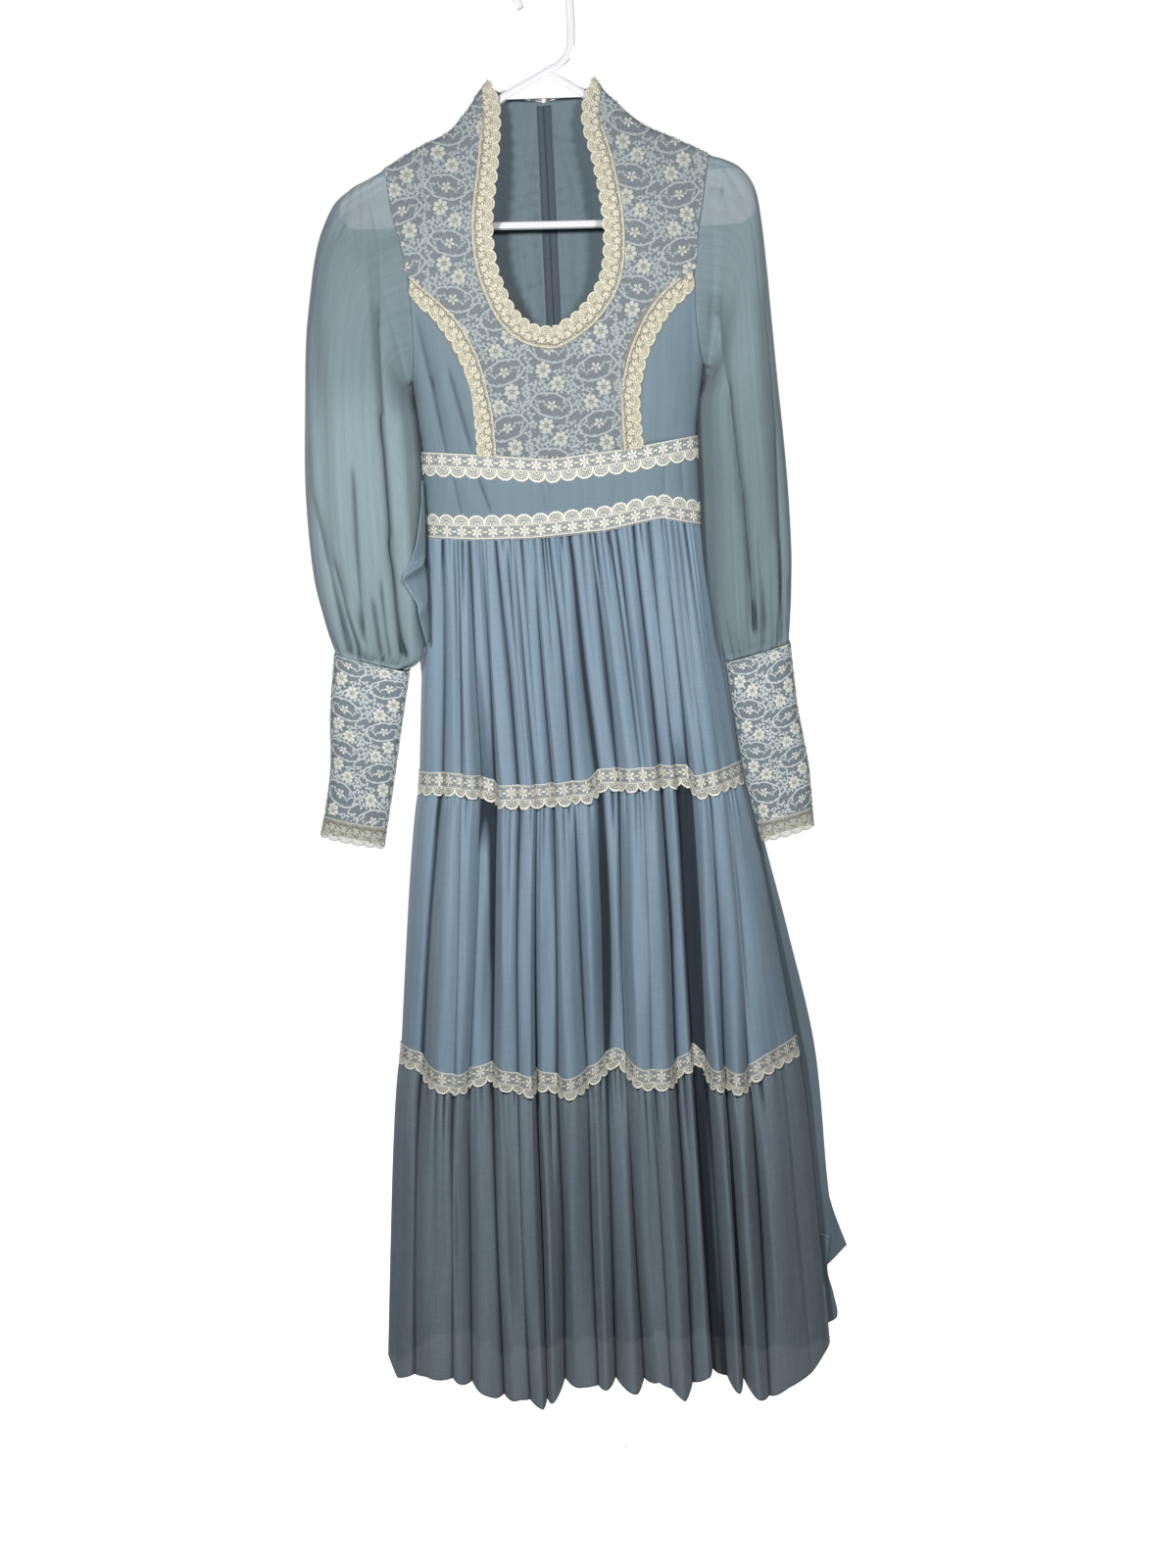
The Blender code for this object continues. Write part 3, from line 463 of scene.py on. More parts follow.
def lengths(points, axis):
    """How far along an axis of a grid each of its points is."""
    steps = np.linalg.norm(np.diff(points, axis=axis), axis=-1)
    start = np.zeros_like(np.take(steps, [0], axis=axis))
    return np.concatenate([start, np.cumsum(steps, axis=axis)], axis=axis)


# Bodice form
SHOULDERS = [smoothed(line, 22) for line in (SHOULDER_LEFT, SHOULDER_RIGHT)]
SECTION = smoothed(BODICE, 80)[::-1]


def below_shoulder(x, z):
    """Distance from points of the front view to the nearer shoulder line."""
    points = np.stack([x, z], -1)[..., None, :]
    nearest = np.full(np.shape(x), 1e9)
    for line in SHOULDERS:
        start, along = line[:-1], np.diff(line, axis=0)
        share = np.clip(((points - start) * along).sum(-1) / (along**2).sum(-1), 0, 1)
        away = np.linalg.norm(points - start - share[..., None] * along, axis=-1)
        nearest = np.minimum(nearest, away.min(-1))
    return nearest


def bodice_y(x, z, face):
    """Depth of the bodice's outer surface. The face is -1 for the front and 1 for the back."""
    left, right, front, back = (np.interp(z, SECTION[:, 0], SECTION[:, k]) for k in (1, 2, 3, 4))
    across = np.minimum(1, np.abs(x - (left + right) / 2) / ((right - left) / 2))
    full = (front if face < 0 else back) * (1 - across**SECTION_POWER) ** (1 / SECTION_POWER)
    drop = below_shoulder(x, z)
    full *= (1 - (1 - np.minimum(1, drop / SHOULDER_REACH)) ** 1.5) ** (1 / 1.5)
    inside = SHOULDER_ROUND - np.minimum(drop, SHOULDER_ROUND)
    off_arm = np.sqrt(SHOULDER_ROUND**2 - inside**2) * np.clip((z + 380) / 60, 0, 1)
    return face * np.hypot(full, off_arm)


def bodice(x, z, face, out=0.0, gap=SEAM):
    """Points of the bodice moved out along its normals, and the normals."""
    x, z = (np.asarray(a, float) for a in np.broadcast_arrays(x, z))
    near = np.where(below_shoulder(x, z) < 1, z - 1, z)
    slope_x = bodice_y(x + 0.5, near, face) - bodice_y(x - 0.5, near, face)
    slope_z = bodice_y(x, near + 0.5, face) - bodice_y(x, near - 0.5, face)
    normals = unit(np.stack([-slope_x, np.ones_like(x), -slope_z], -1)) * face
    points = np.stack([x, bodice_y(x, z, face), z], -1) + out * normals
    points[..., 1] = face * np.maximum(gap, face * points[..., 1])
    return points, normals


# Grids of points: rows run down and columns run to the right, seen from outside
def normals_of(grid, closed=False):
    down = np.gradient(grid, axis=0)
    if closed:
        across = np.roll(grid, -1, axis=1) - np.roll(grid, 1, axis=1)
    else:
        across = np.gradient(grid, axis=1)
    return unit(np.cross(down, across))


def moved_out(grid, distance, closed=False):
    return grid + distance * normals_of(grid, closed)


def creased(grid, rows, face=-1, closed=False):
    """Presses soft troughs and ridges into the side of a grid that faces one way. A row per crease:
    x and z of its ends, its width and its depth, which is below 0 for a ridge."""
    normals = normals_of(grid, closed)
    facing = np.clip(face * normals[..., 1], 0, 1) ** 0.5
    moved = grid.copy()
    for ax, az, bx, bz, width, deep in rows:
        dx, dz = bx - ax, bz - az
        share = ((grid[..., 0] - ax) * dx + (grid[..., 2] - az) * dz) / (dx * dx + dz * dz)
        held = np.clip(share, 0, 1)
        away = np.hypot(grid[..., 0] - ax - held * dx, grid[..., 2] - az - held * dz)
        fade = np.clip(np.minimum(share, 1 - share) * 4 + 0.5, 0, 1)
        power = 1.2 if deep > 0 else 2.0
        moved -= (deep * facing * fade * np.exp(-((away / width) ** power)))[..., None] * normals
    return moved


def recessed(grid, closed=False):
    """How far into a fold each point lies, from 0 to 1, against the mean of its row round it: how much
    painted shade it gets.
    """
    normals = normals_of(grid, closed)
    step = lengths(grid, 1)[:, -1].mean() / grid.shape[1]
    found = np.zeros(grid.shape[:2])
    for reach, deep in FOLD_REACHES:
        count = min(grid.shape[1] // 2, max(1, round(reach / step)))
        padded = np.pad(grid, ((0, 0), (count + 1, count), (0, 0)), mode="wrap" if closed else "reflect")
        total = np.cumsum(padded, axis=1)
        mean = (total[:, 2 * count + 1 :] - total[:, : -2 * count - 1]) / (2 * count + 1)
        under = ((mean - grid) * normals).sum(-1)
        found += np.clip(under / deep, 0, 1) * (1 - found)
    return found


# Pieces
collection = bpy.data.collections.new("dress_looks")
bpy.context.scene.collection.children.link(collection)


def mesh_object(name, points, faces, material, uvs=None):
    mesh = bpy.data.meshes.new(name)
    mesh.from_pydata((MM * np.asarray(points)).tolist(), [], faces)
    if uvs is not None:
        mesh.uv_layers.new(name="cloth").data.foreach_set("uv", np.asarray(uvs, float).ravel())
    mesh.shade_smooth()
    mesh.materials.append(material)
    made = bpy.data.objects.new(name, mesh)
    collection.objects.link(made)
    return made


def by_corner(table):
    """A grid's values at the four corners of each of its cells."""
    return np.stack([table[:-1, :-1], table[1:, :-1], table[1:, 1:], table[:-1, 1:]], 2)


def cloth(name, grids, material, node, wall=WALL, closed=False, shade=0.0):
    """A thin sheet on one or more grids, in place of a solid of the dress. Its folds get painted shade, and
    the shade is more painted shade, of folds that the grids don't have and of dim places."""
    points, faces, uvs, painted_shades, start = [], [], [], [], 0
    area, widest, longest = 0, 0, 0
    for grid in grids:
        tall, wide = grid.shape[:2]
        index = start + np.arange(tall * wide).reshape(tall, wide)
        whole = grid
        if closed:
            index = np.hstack([index, index[:, :1]])
            whole = np.concatenate([grid, grid[:, :1]], axis=1)
        faces += by_corner(index).reshape(-1, 4).tolist()
        across, down = lengths(whole, 1), lengths(whole, 0)
        grain = across[np.argmax(across[:, -1])] + 0 * across
        uvs.append(by_corner(MM * np.stack([grain, -down], -1)).reshape(-1, 2))
        painted_shades.append(np.maximum(recessed(grid, closed), shade).ravel())
        points.append(grid.reshape(-1, 3))
        start += tall * wide
        first = whole[1:, 1:] - whole[:-1, :-1]
        second = whole[1:, :-1] - whole[:-1, 1:]
        area += np.linalg.norm(np.cross(first, second), axis=-1).sum() / 2
        widest += across[:, -1].max()
        longest = max(longest, down[-1].max())
    made = mesh_object(name, np.concatenate(points), faces, material, np.concatenate(uvs))
    # Each point's painted shade, which the material reads
    painted_shade = made.data.attributes.new("painted_shade", "FLOAT", "POINT")
    painted_shade.data.foreach_set("value", np.concatenate(painted_shades))
    if wall:
        solid = made.modifiers.new("wall", "SOLIDIFY")
        solid.thickness = MM * wall
        solid.offset = -1
    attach(made, "dress")
    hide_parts(node)
    made["cut"] = (MM * widest, MM * longest, MM * MM * area)
    return made


# Lace drawing
class Threads:
    """Threads and petals drawn on a flat of millimetres, u to the right and v down, with their rise."""

    def __init__(self):
        self.points, self.faces, self.count = [], [], 0

    def add(self, points, faces):
        self.points.append(np.asarray(points, float))
        self.faces.append(np.asarray(faces) + self.count)
        self.count += len(points)

    def line(self, path, width, rise=0.35, closed=False):
        path = np.asarray(path, float)
        if closed:
            path = np.concatenate([path, path[:1]])
        ahead = np.gradient(path, axis=0)
        if closed:
            ahead[0] = ahead[-1] = path[1] - path[-2]
        side = unit(np.stack([-ahead[:, 1], ahead[:, 0]], -1)) * width / 2
        flat = np.zeros((len(path), 1))
        left, right = np.hstack([path + side, flat]), np.hstack([path - side, flat])
        middle = np.hstack([path, flat + rise])
        points = np.stack([left, middle, right], 1).reshape(-1, 3)
        k = 3 * np.arange(len(path) - 1)
        halves = [np.stack([k + j, k + j + 3, k + j + 4, k + j + 1], -1) for j in (0, 1)]
        self.add(points, np.concatenate(halves))

    def petal(self, u, v, angle, long, wide, rise=0.5, rim=8):
        """A petal or leaf from a point outwards."""
        turn = TURN * np.arange(rim) / rim
        along = long / 2 * (1 - np.cos(turn))
        beside = wide / 2 * np.sin(turn) * (0.75 + 0.5 * along / long)
        c, s = math.cos(angle), math.sin(angle)
        ring = np.stack([u + c * along - s * beside, v + s * along + c * beside, 0 * along], -1)
        middle = [[u + c * long * 0.55, v + s * long * 0.55, rise]]
        points = np.concatenate([ring, middle])
        faces = [(k, (k + 1) % rim, rim, rim) for k in range(rim)]
        self.add(points, faces)

    def flower(self, u, v, petals, size, wide, turn=0.0, eye=0.9):
        for k in range(petals):
            angle = turn + TURN * k / petals
            self.petal(u + eye * math.cos(angle), v + eye * math.sin(angle), angle, size - eye, wide)
        ring = TURN * np.arange(6) / 6
        self.line(np.stack([u + eye * np.cos(ring), v + eye * np.sin(ring)], -1), 0.6, 0.5, closed=True)

    def leafy(self, path, width, leaf, step):
        """A vine with leaves on its two sides in turn."""
        path = np.asarray(path, float)
        path = smoothed(path, max(6, 5 * (len(path) - 1)))
        self.line(path, width)
        along = lengths(path, 0)
        for k, place in enumerate(np.arange(step / 2, along[-1], step)):
            u, v = (np.interp(place, along, path[:, j]) for j in (0, 1))
            du, dv = (np.interp(place + 0.5, along, path[:, j]) for j in (0, 1))
            heading = math.atan2(dv - v, du - u) + (0.95 if k % 2 else -0.95)
            self.petal(u, v, heading, leaf, leaf * 0.6, 0.4, 6)

    def joined(self):
        return np.concatenate(self.points), np.concatenate(self.faces)


def sewn(name, threads, place, out, material, keep=None):
    """Lays a drawing on a surface. Faces that leave the kept region are dropped."""
    points, faces = threads.joined()
    if keep is not None:
        kept = keep(points[:, 0], points[:, 1])
        faces = faces[kept[faces].all(1)]
    used, faces = np.unique(faces, return_inverse=True)
    faces = faces.reshape(-1, 4)
    points = points[used]
    at, normals = place(points[:, 0], points[:, 1])
    at = at + (out + points[:, 2])[:, None] * normals
    faces = [face[:3] if face[2] == face[3] else face for face in faces.tolist()]
    made = mesh_object(name, at, faces, material)
    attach(made, "dress")
    return made


def laid_on(grid, closed=False):
    """A function that lays a flat of millimetres on a grid, u along its rows and v down its columns,
    with the grid's length."""
    normals = normals_of(grid, closed)
    if closed:
        grid = np.concatenate([grid, grid[:, :1]], axis=1)
        normals = np.concatenate([normals, normals[:, :1]], axis=1)
    tall, wide = grid.shape[:2]
    along = lengths(grid[tall // 2], 0)
    height = lengths(grid, 0)[-1]

    def place(u, v):
        u = u % along[-1] if closed else u
        c = np.interp(u, along, np.arange(wide))
        left = np.minimum(c.astype(int), wide - 2)
        s = c - left
        r = np.clip(v / mix(height[left], height[left + 1], s) * (tall - 1), 0, tall - 1)
        top = np.minimum(r.astype(int), tall - 2)
        t = (r - top)[:, None]
        s = s[:, None]
        found = []
        for table in (grid, normals):
            upper = mix(table[top, left], table[top, left + 1], s)
            lower = mix(table[top + 1, left], table[top + 1, left + 1], s)
            found.append(mix(upper, lower, t))
        return found[0], unit(found[1])

    return place, along[-1]


def scallops(one, step, start, tip, thick):
    """Arcs one in another, the outer one thick and a little wavy, with short bars between them."""
    arc = np.linspace(0, math.pi, 15)
    for reach, width, wave in ((1.0, thick, 0.3), (0.72, 0.8, 0), (0.52, 0.7, 0), (0.28, 1.3, 0)):
        u = step / 2 * (1 - reach * np.cos(arc))
        v = start + (tip - thick / 2 - start) * reach * np.sin(arc) ** 0.7 + wave * np.sin(arc * 11)
        one.line(np.stack([u, v], -1), width, 0.5)
    for turn in np.linspace(0.3, math.pi - 0.3, 8):
        ends = []
        for reach in (0.52, 0.98):
            reach_v = start + (tip - thick / 2 - start) * reach * math.sin(turn) ** 0.7
            ends.append((step / 2 * (1 - reach * math.cos(turn)), reach_v))
        one.line(ends, 0.5, 0.3)


def galloon(length, width, nominal, dense=False, straight_first=True):
    """A scalloped edging from its straight edge at v = 0 to the tips of its scallops: a row of
    linked daisies, or in the dense one two rows of small flowers among beads."""
    count = max(1, round(length / nominal))
    step = length / count
    drawn, one = Threads(), Threads()
    rows = np.linspace(0, length, 4 * count + 1)
    middle, start = (0.38, 0.62) if dense else (0.29, 0.55)
    edges = [(0.6, 1.1), (1.9, 0.45), (start * width, 0.9), (start * width - 1.3, 0.4)]
    for v, thick in edges:
        drawn.line(np.stack([rows, np.full_like(rows, v)], -1), thick)
    centre = middle * width
    if dense:
        rng = np.random.default_rng(3)
        for k in range(2):
            u = step * (k + 0.5) / 2
            one.flower(u, centre + (1.2 if k else -1.2), 5, 3.9 if k else 3.2, 2.3, 0.7 * k, 0.7)
        wave = np.linspace(0, step, 13)
        for sign in (-1, 1):
            v = centre + sign * 0.17 * width * np.cos(TURN * wave / step)
            one.line(np.stack([wave, v], -1), 0.6)
        for u, v in rng.uniform((0, 0.8), (step, start * width - 1.0), (17, 2)):
            one.petal(u, v, rng.uniform(0, TURN), rng.uniform(1.4, 2.4), rng.uniform(1.0, 1.4), 0.5, 5)
    else:
        one.flower(step / 2, centre, 6, 0.24 * width, 0.11 * width, 0.52, 0.9)
        one.line([(0, centre), (0.2 * step, centre)], 0.7)
        one.line([(0.8 * step, centre), (step, centre)], 0.7)
        one.petal(-2.2, centre, 0, 4.4, 2.2, 0.5, 6)
        for u in np.arange(0.1, 1, 0.2):
            one.line([(step * u, 1.9), (step * u, start * width - 1.3)], 0.22, 0.05)
    scallops(one, step, start * width, width, 1.9 if dense else 2.2)
    points, faces = one.joined()
    for k in range(count):
        drawn.add(points + (k * step, 0, 0), faces)
    if not straight_first:
        for points in drawn.points:
            points[:, 1] = width - points[:, 1]
    return drawn


# Materials
def rgb(colour):
    """A display colour as the linear one that a shader takes."""
    shares = [c / 255 for c in colour]
    return (*(s / 12.92 if s < 0.04 else ((s + 0.055) / 1.055) ** 2.4 for s in shares), 1)


class Shader:
    """A material round one Principled shader."""

    def __init__(self, name, roughness, sheen=0.0):
        self.material = bpy.data.materials.new(name)
        self.material.use_nodes = True
        self.tree = self.material.node_tree
        self.shader = self.tree.nodes["Principled BSDF"]
        self.shader.inputs["Roughness"].default_value = roughness
        self.shader.inputs["Sheen Weight"].default_value = sheen
        self.shader.inputs["Specular IOR Level"].default_value = 0.25

    def add(self, kind, settings=None, output=0, **inputs):
        """A node with its inputs by name, or by number as in i0. Gives one of its outputs."""
        made = self.tree.nodes.new("ShaderNode" + kind)
        for name, value in (settings or {}).items():
            setattr(made, name, value)
        for name, value in inputs.items():
            self.set(made.inputs[int(name[1:]) if name[1:].isdigit() else name], value)
        return made.outputs[output]

    def set(self, socket, value):
        if isinstance(value, bpy.types.NodeSocket):
            self.tree.links.new(value, socket)
        else:
            socket.default_value = value

    def paint(self, colour):
        self.set(self.shader.inputs["Base Color"], colour)

    def at(self, *scale):
        """The cloth's own coordinates in metres, times a scale."""
        flat = self.add("UVMap", {"uv_map": "cloth"})
        return self.add("VectorMath", {"operation": "MULTIPLY"}, i0=flat, i1=(*scale, 1))

    def noise(self, at, scale=1.0, detail=2.0):
        return self.add("TexNoise", None, Vector=at, Scale=scale, Detail=detail)

    def math(self, operation, a, b=0.0):
        return self.add("Math", {"operation": operation}, i0=a, i1=b)

    def mixed(self, share, a, b):
        return self.add("Mix", {"data_type": "RGBA"}, 2, i0=share, i6=a, i7=b)

    def ranged(self, value, low, high, to_low, to_high):
        return self.add("MapRange", i0=value, i1=low, i2=high, i3=to_low, i4=to_high)

    def bump(self, height, strength, distance):
        made = self.add("Bump", None, Height=height, Strength=strength, Distance=distance)
        self.set(self.shader.inputs["Normal"], made)

    def from_box(self, low, high):
        """How many millimetres a point's x and z are outside a box of x and z."""
        at = self.add("TexCoord", output="Object")
        flat = self.add("VectorMath", {"operation": "MULTIPLY"}, i0=at, i1=(1 / MM, 0, 1 / MM))
        held = self.add("VectorMath", {"operation": "MAXIMUM"}, i0=flat, i1=(low[0], 0, low[1]))
        held = self.add("VectorMath", {"operation": "MINIMUM"}, i0=held, i1=(high[0], 0, high[1]))
        return self.add("VectorMath", {"operation": "DISTANCE"}, "Value", i0=flat, i1=held)


def voile(name, light, dark, alpha=1.0, grain=0.2, shown=(), fold_shade=0.93):
    """Plain voile: slubs along both threads, a fine weave and soft clouds and streaks. Painted shade darkens
    the cloth inside a fold, and makes see-through cloth more opaque there. A pale solid behind it shows
    through in the shown boxes, whose corners are rounded."""
    made = Shader(name, 0.9, 0.1)
    warp = made.ranged(made.noise(made.at(900, 22)), 0.3, 0.7, 0, 0.34)
    weft = made.ranged(made.noise(made.at(34, 900)), 0.3, 0.7, 0, 0.3)
    clouds = made.ranged(made.noise(made.at(14, 5)), 0.3, 0.7, 0, 0.16)
    streaks = made.ranged(made.noise(made.at(130, 3)), 0.35, 0.65, 0, 0.3)
    slubs = made.math("ADD", warp, weft)
    tone = made.math("ADD", clouds, streaks)
    even = made.mixed(made.math("ADD", slubs, tone), rgb(dark), rgb(light))
    for low, high, reach in shown:
        inside = made.ranged(made.from_box(low, high), reach - 0.8, reach + 0.8, SHOWN_SHARE, 0)
        even = made.mixed(inside, even, rgb(SHOWN_COLOUR))
    # Painted shade of folds, gaps and dim places, from each point's value on the mesh
    painted_shade = made.add("Attribute", {"attribute_name": "painted_shade"}, "Fac")
    shade_share = made.ranged(painted_shade, 0.06, 0.85, 0, fold_shade)
    made.paint(made.mixed(shade_share, even, rgb(PAINTED_SHADE_COLOUR)))
    weave = made.noise(made.at(1500, 1500), detail=1.0)
    made.bump(made.math("ADD", weave, slubs), grain, 0.0003)
    if alpha < 1:
        open_weave = made.ranged(slubs, 0.1, 0.55, alpha - 0.3 * grain, alpha + 0.3 * grain)
        made.set(made.shader.inputs["Alpha"], made.math("MAXIMUM", open_weave, shade_share))
    return made.material


def thread(name, light, dark):
    """Lace thread, a little uneven."""
    made = Shader(name, 0.75, 0.1)
    speckle = made.noise(made.add("TexCoord", output="Object"), 700.0)
    made.paint(made.mixed(made.ranged(speckle, 0.35, 0.6, 0, 1), rgb(dark), rgb(light)))
    made.bump(speckle, 0.3, 0.0003)
    return made.material


def net(name, colour, period, cover):
    """Fine net: three sets of threads, clear between them."""
    made = Shader(name, 0.8)
    threads = []
    for angle in (0, 60, 120):
        flat = made.add("UVMap", {"uv_map": "cloth"})
        turned = made.add("VectorRotate", {"rotation_type": "Z_AXIS"}, Vector=flat, Angle=math.radians(angle))
        across = made.add("SeparateXYZ", Vector=turned)
        threads.append(made.math("SINE", made.math("MULTIPLY", across, TURN / (MM * period))))
    most = made.math("MAXIMUM", made.math("MAXIMUM", threads[0], threads[1]), threads[2])
    mottle = made.noise(made.at(420, 420))
    edge = made.math("ADD", most, made.ranged(mottle, 0.3, 0.7, -0.25, 0.25))
    made.set(made.shader.inputs["Alpha"], made.ranged(edge, cover, cover + 0.12, 0, 1))
    made.paint(rgb(colour))
    return made.material


def hard(name, roughness, scale, dark, light, specular, metallic):
    """A hard surface with faint clouds."""
    made = Shader(name, roughness)
    clouds = made.noise(made.add("TexCoord", output="Object"), scale)
    made.paint(made.mixed(clouds, rgb(dark), rgb(light)))
    made.shader.inputs["Specular IOR Level"].default_value = specular
    made.shader.inputs["Metallic"].default_value = metallic
    return made.material


# The colour of the painted shade
PAINTED_SHADE_COLOUR = (26, 32, 42)
SHOWN_SHARE = 0.5
SHOWN_COLOUR = (178, 186, 190)
# Where the hanger's ends lie behind the sleeves: the low and the high x, z of a box, and how far off it
HANGER_ENDS = (((-193, -219), (-150, -206), 19), ((140, -235), (179, -216), 18))
BLUE = voile("blue_voile", (124, 143, 153), (109, 128, 139))
YOKE_BLUE = voile("yoke_voile", (122, 133, 142), (104, 116, 127))
# A darker copy of the blue voile: painted shade for the inside of the backs
SHADED_BACK_BLUE = voile("shaded_back_voile", (117, 131, 139), (100, 115, 124))
SKIRT_BLUE = voile("skirt_voile", (146, 167, 183), (120, 142, 159))
LOW_BLUE = voile("low_tier_voile", (134, 149, 159), (112, 127, 138), 0.88)
SLEEVE_BLUE = voile("sleeve_voile", (147, 165, 171), (123, 142, 149), 1.0, 0.14, HANGER_ENDS, 0.82)
WHITE_THREAD = thread("white_thread", (240, 238, 226), (214, 212, 196))
CREAM = thread("cream_thread", (226, 222, 202), (196, 190, 168))
PALE = thread("pale_thread", (200, 202, 190), (176, 179, 170))
DIM = thread("dim_thread", (173, 181, 181), (151, 161, 165))
CUFF_PALE = thread("cuff_pale_thread", (232, 232, 221), (210, 211, 201))
CUFF_DIM = thread("cuff_dim_thread", (208, 215, 215), (186, 195, 198))
NET = net("pale_net", (150, 156, 158), 1.9, 0.8)
DENSE_NET = net("cream_net", (146, 143, 130), 1.7, 0.2)
EDGE_NET = net("edge_net", (168, 172, 176), 1.6, 0.7)
SASH_HEM = thread("sash_hem", (176, 194, 202), (150, 170, 180))
TAPE = voile("zip_tape_weave", (84, 92, 104), (70, 78, 90))
COIL = thread("zip_coil", (60, 68, 80), (38, 44, 54))
WHITE = hard("white_plastic", 0.35, 14.0, (232, 232, 236), (246, 246, 248), 0.5, 0.0)
METAL = hard("painted_metal", 0.4, 260.0, (70, 96, 118), (104, 132, 152), 0.25, 0.6)


def edging(name, node, ground, grid, out, size, fabric, yarn, straight_first=True, closed=False):
    """A scalloped edging: a ground of net, and threads that lie on a grid. The size is its width and
    its repeat."""
    made = cloth(f"{name}_net", [ground], fabric, node, 0, closed)
    place, length = laid_on(grid, closed)
    drawn = galloon(length, *size, fabric is DENSE_NET, straight_first)
    sewn(f"{name}_threads", drawn, place, out, yarn)


# Yoke
YOKE_PLACES = np.concatenate([[0, 0.03, 0.1], np.linspace(0.25, 12, 90)])


def neck_line(table, count):
    return smoothed(np.array(table)[:NECK_ROWS, 2:], count)


def yoke_grid(table, shoulder, side, out=0.0):
    """One half of the yoke. The side is -1 for the left, whose rows start at its outer edge."""
    outer = rows_at(np.array(table)[:, :2], YOKE_PLACES)
    neck = rows_at(np.array(table)[:NECK_ROWS, 2:], YOKE_PLACES)
    centre_z = np.interp(YOKE_PLACES, range(len(table)), np.array(table)[:, 3])
    neck[:, 1] = np.where(YOKE_PLACES > NECK_ROWS - 1, centre_z, neck[:, 1])
    share = np.linspace(0, 1, 34)[::-side]
    x = mix(outer[:, :1] - side * SEAM, neck[:, :1], share)
    z = mix(outer[:, 1:], neck[:, 1:], share)
    line = rows_at(shoulder, share * (len(shoulder) - 1))
    bow = np.maximum(0, 1 - YOKE_PLACES / 4)[:, None] ** 2
    x += bow * (line[:, 0] - mix(shoulder[0][0], shoulder[-1][0], share))
    z += bow * (line[:, 1] - mix(shoulder[0][1], shoulder[-1][1], share))
    z[-1] = level(MIDRIFF_TOP, x[-1]) + SEAM
    return bodice(x, z, -1, out, SHOULDER_GAP)[0]


yoke_parts = ((YOKE_LEFT, SHOULDER_LEFT, -1), (YOKE_RIGHT, SHOULDER_RIGHT, 1))
cloth("yoke_cloth", [yoke_grid(*part) for part in yoke_parts], YOKE_BLUE, "front_bib")
net_halves = [yoke_grid(*part, NET_OUT) for part in yoke_parts]
yoke_net = cloth("yoke_net", net_halves, NET, "front_bib_lace", 0)


def inside_outline(outline, u, v):
    """True where points are inside a closed outline."""
    found = np.zeros(len(u), bool)
    for (ax, az), (bx, bz) in zip(outline, np.roll(outline, -1, axis=0)):
        if az == bz:
            continue
        crossing = ((az > v) != (bz > v)) & (u < ax + (v - az) * (bx - ax) / (bz - az))
        found ^= crossing
    return found


yoke_left_outer = np.array(YOKE_LEFT)[:, :2] + (SEAM + 0.5, 0)
yoke_right_outer = np.array(YOKE_RIGHT)[:, :2] - (SEAM + 0.5, 0)
yoke_outline = np.concatenate(
    [
        smoothed(SHOULDER_LEFT, 40)[::-1],
        smoothed(yoke_left_outer, 60),
        yoke_left_outer[-1:] - (0, 20),
        yoke_right_outer[-1:] - (0, 20),
        smoothed(yoke_right_outer, 60)[::-1],
        smoothed(SHOULDER_RIGHT, 40),
        neck_line(YOKE_RIGHT, 50),
        neck_line(YOKE_LEFT, 50)[::-1],
    ]
)


# Allover lace, by parts of its half-drop repeat from the middle of the oval: u to the right and v down
DAISIES = ((-6.7, 19, 8.0), (6.7, 33, 7.6))
BUDS = ((-20, 17.5, 4.6), (19.5, 33.5, 4.4))
SPRIGS = (
    ((-4, 0), (-8, -3.5), (-13, -5), (-16, -2), (-13, 1.5)),
    ((4.5, 1), (8, 4), (12, 3), (14.5, -1), (11, -4)),
    ((2, 21), (9, 23), (16, 17), (24, 21), (26, 30)),
    ((-22, 22), (-26, 27), (-20, 33), (-11, 31), (-2, 35)),
    ((-23, -3), (-25, -12), (-15, -18), (-6, -15), (4, -18), (15, -13), (23, -15)),
    ((10, 26), (16, 28), (22, 26)),
    ((-14, 24), (-9, 27), (-4, 26)),
)
ALLOVER_WIDTH, ALLOVER_HEIGHT = 45.5, 54.0
HALF_DROP = 0.36


def allover_flowers():
    cell = Threads()
    cell.flower(0, 0, 5, 5.4, 3.0, 0.3, 1.1)
    for u, v, size in DAISIES:
        cell.flower(u, v, 7, size, 4.5, 0.1 * u, 2.3)
        cell.flower(u, v, 5, 1.2, 0.6, 0.4, 0.3)
    return cell


def allover_vines():
    cell = Threads()
    turn = TURN * np.arange(36) / 36
    c, s = math.cos(0.3), math.sin(0.3)
    reach = 1 + 0.035 * np.sin(turn * 7)
    u, v = 20.5 * reach * np.cos(turn), 11.5 * reach * np.sin(turn)
    oval = np.stack([c * u - s * v, s * u + c * v], -1)
    cell.line(oval, 2.0, 0.35, closed=True)
    for k in range(0, 36, 3):
        cell.petal(*oval[k], turn[k] + 0.3 + (0.9 if k % 2 else 2.4), 3.8, 2.5, 0.35, 6)
    for u, v, size in BUDS:
        cell.flower(u, v, 5, size, 3.2, 0.2 * u, 1.0)
    for k, path in enumerate(SPRIGS):
        cell.leafy(path, 1.1, 3.0 if k < 2 else 4.6, 3.4 if k < 2 else 3.1)
    return cell


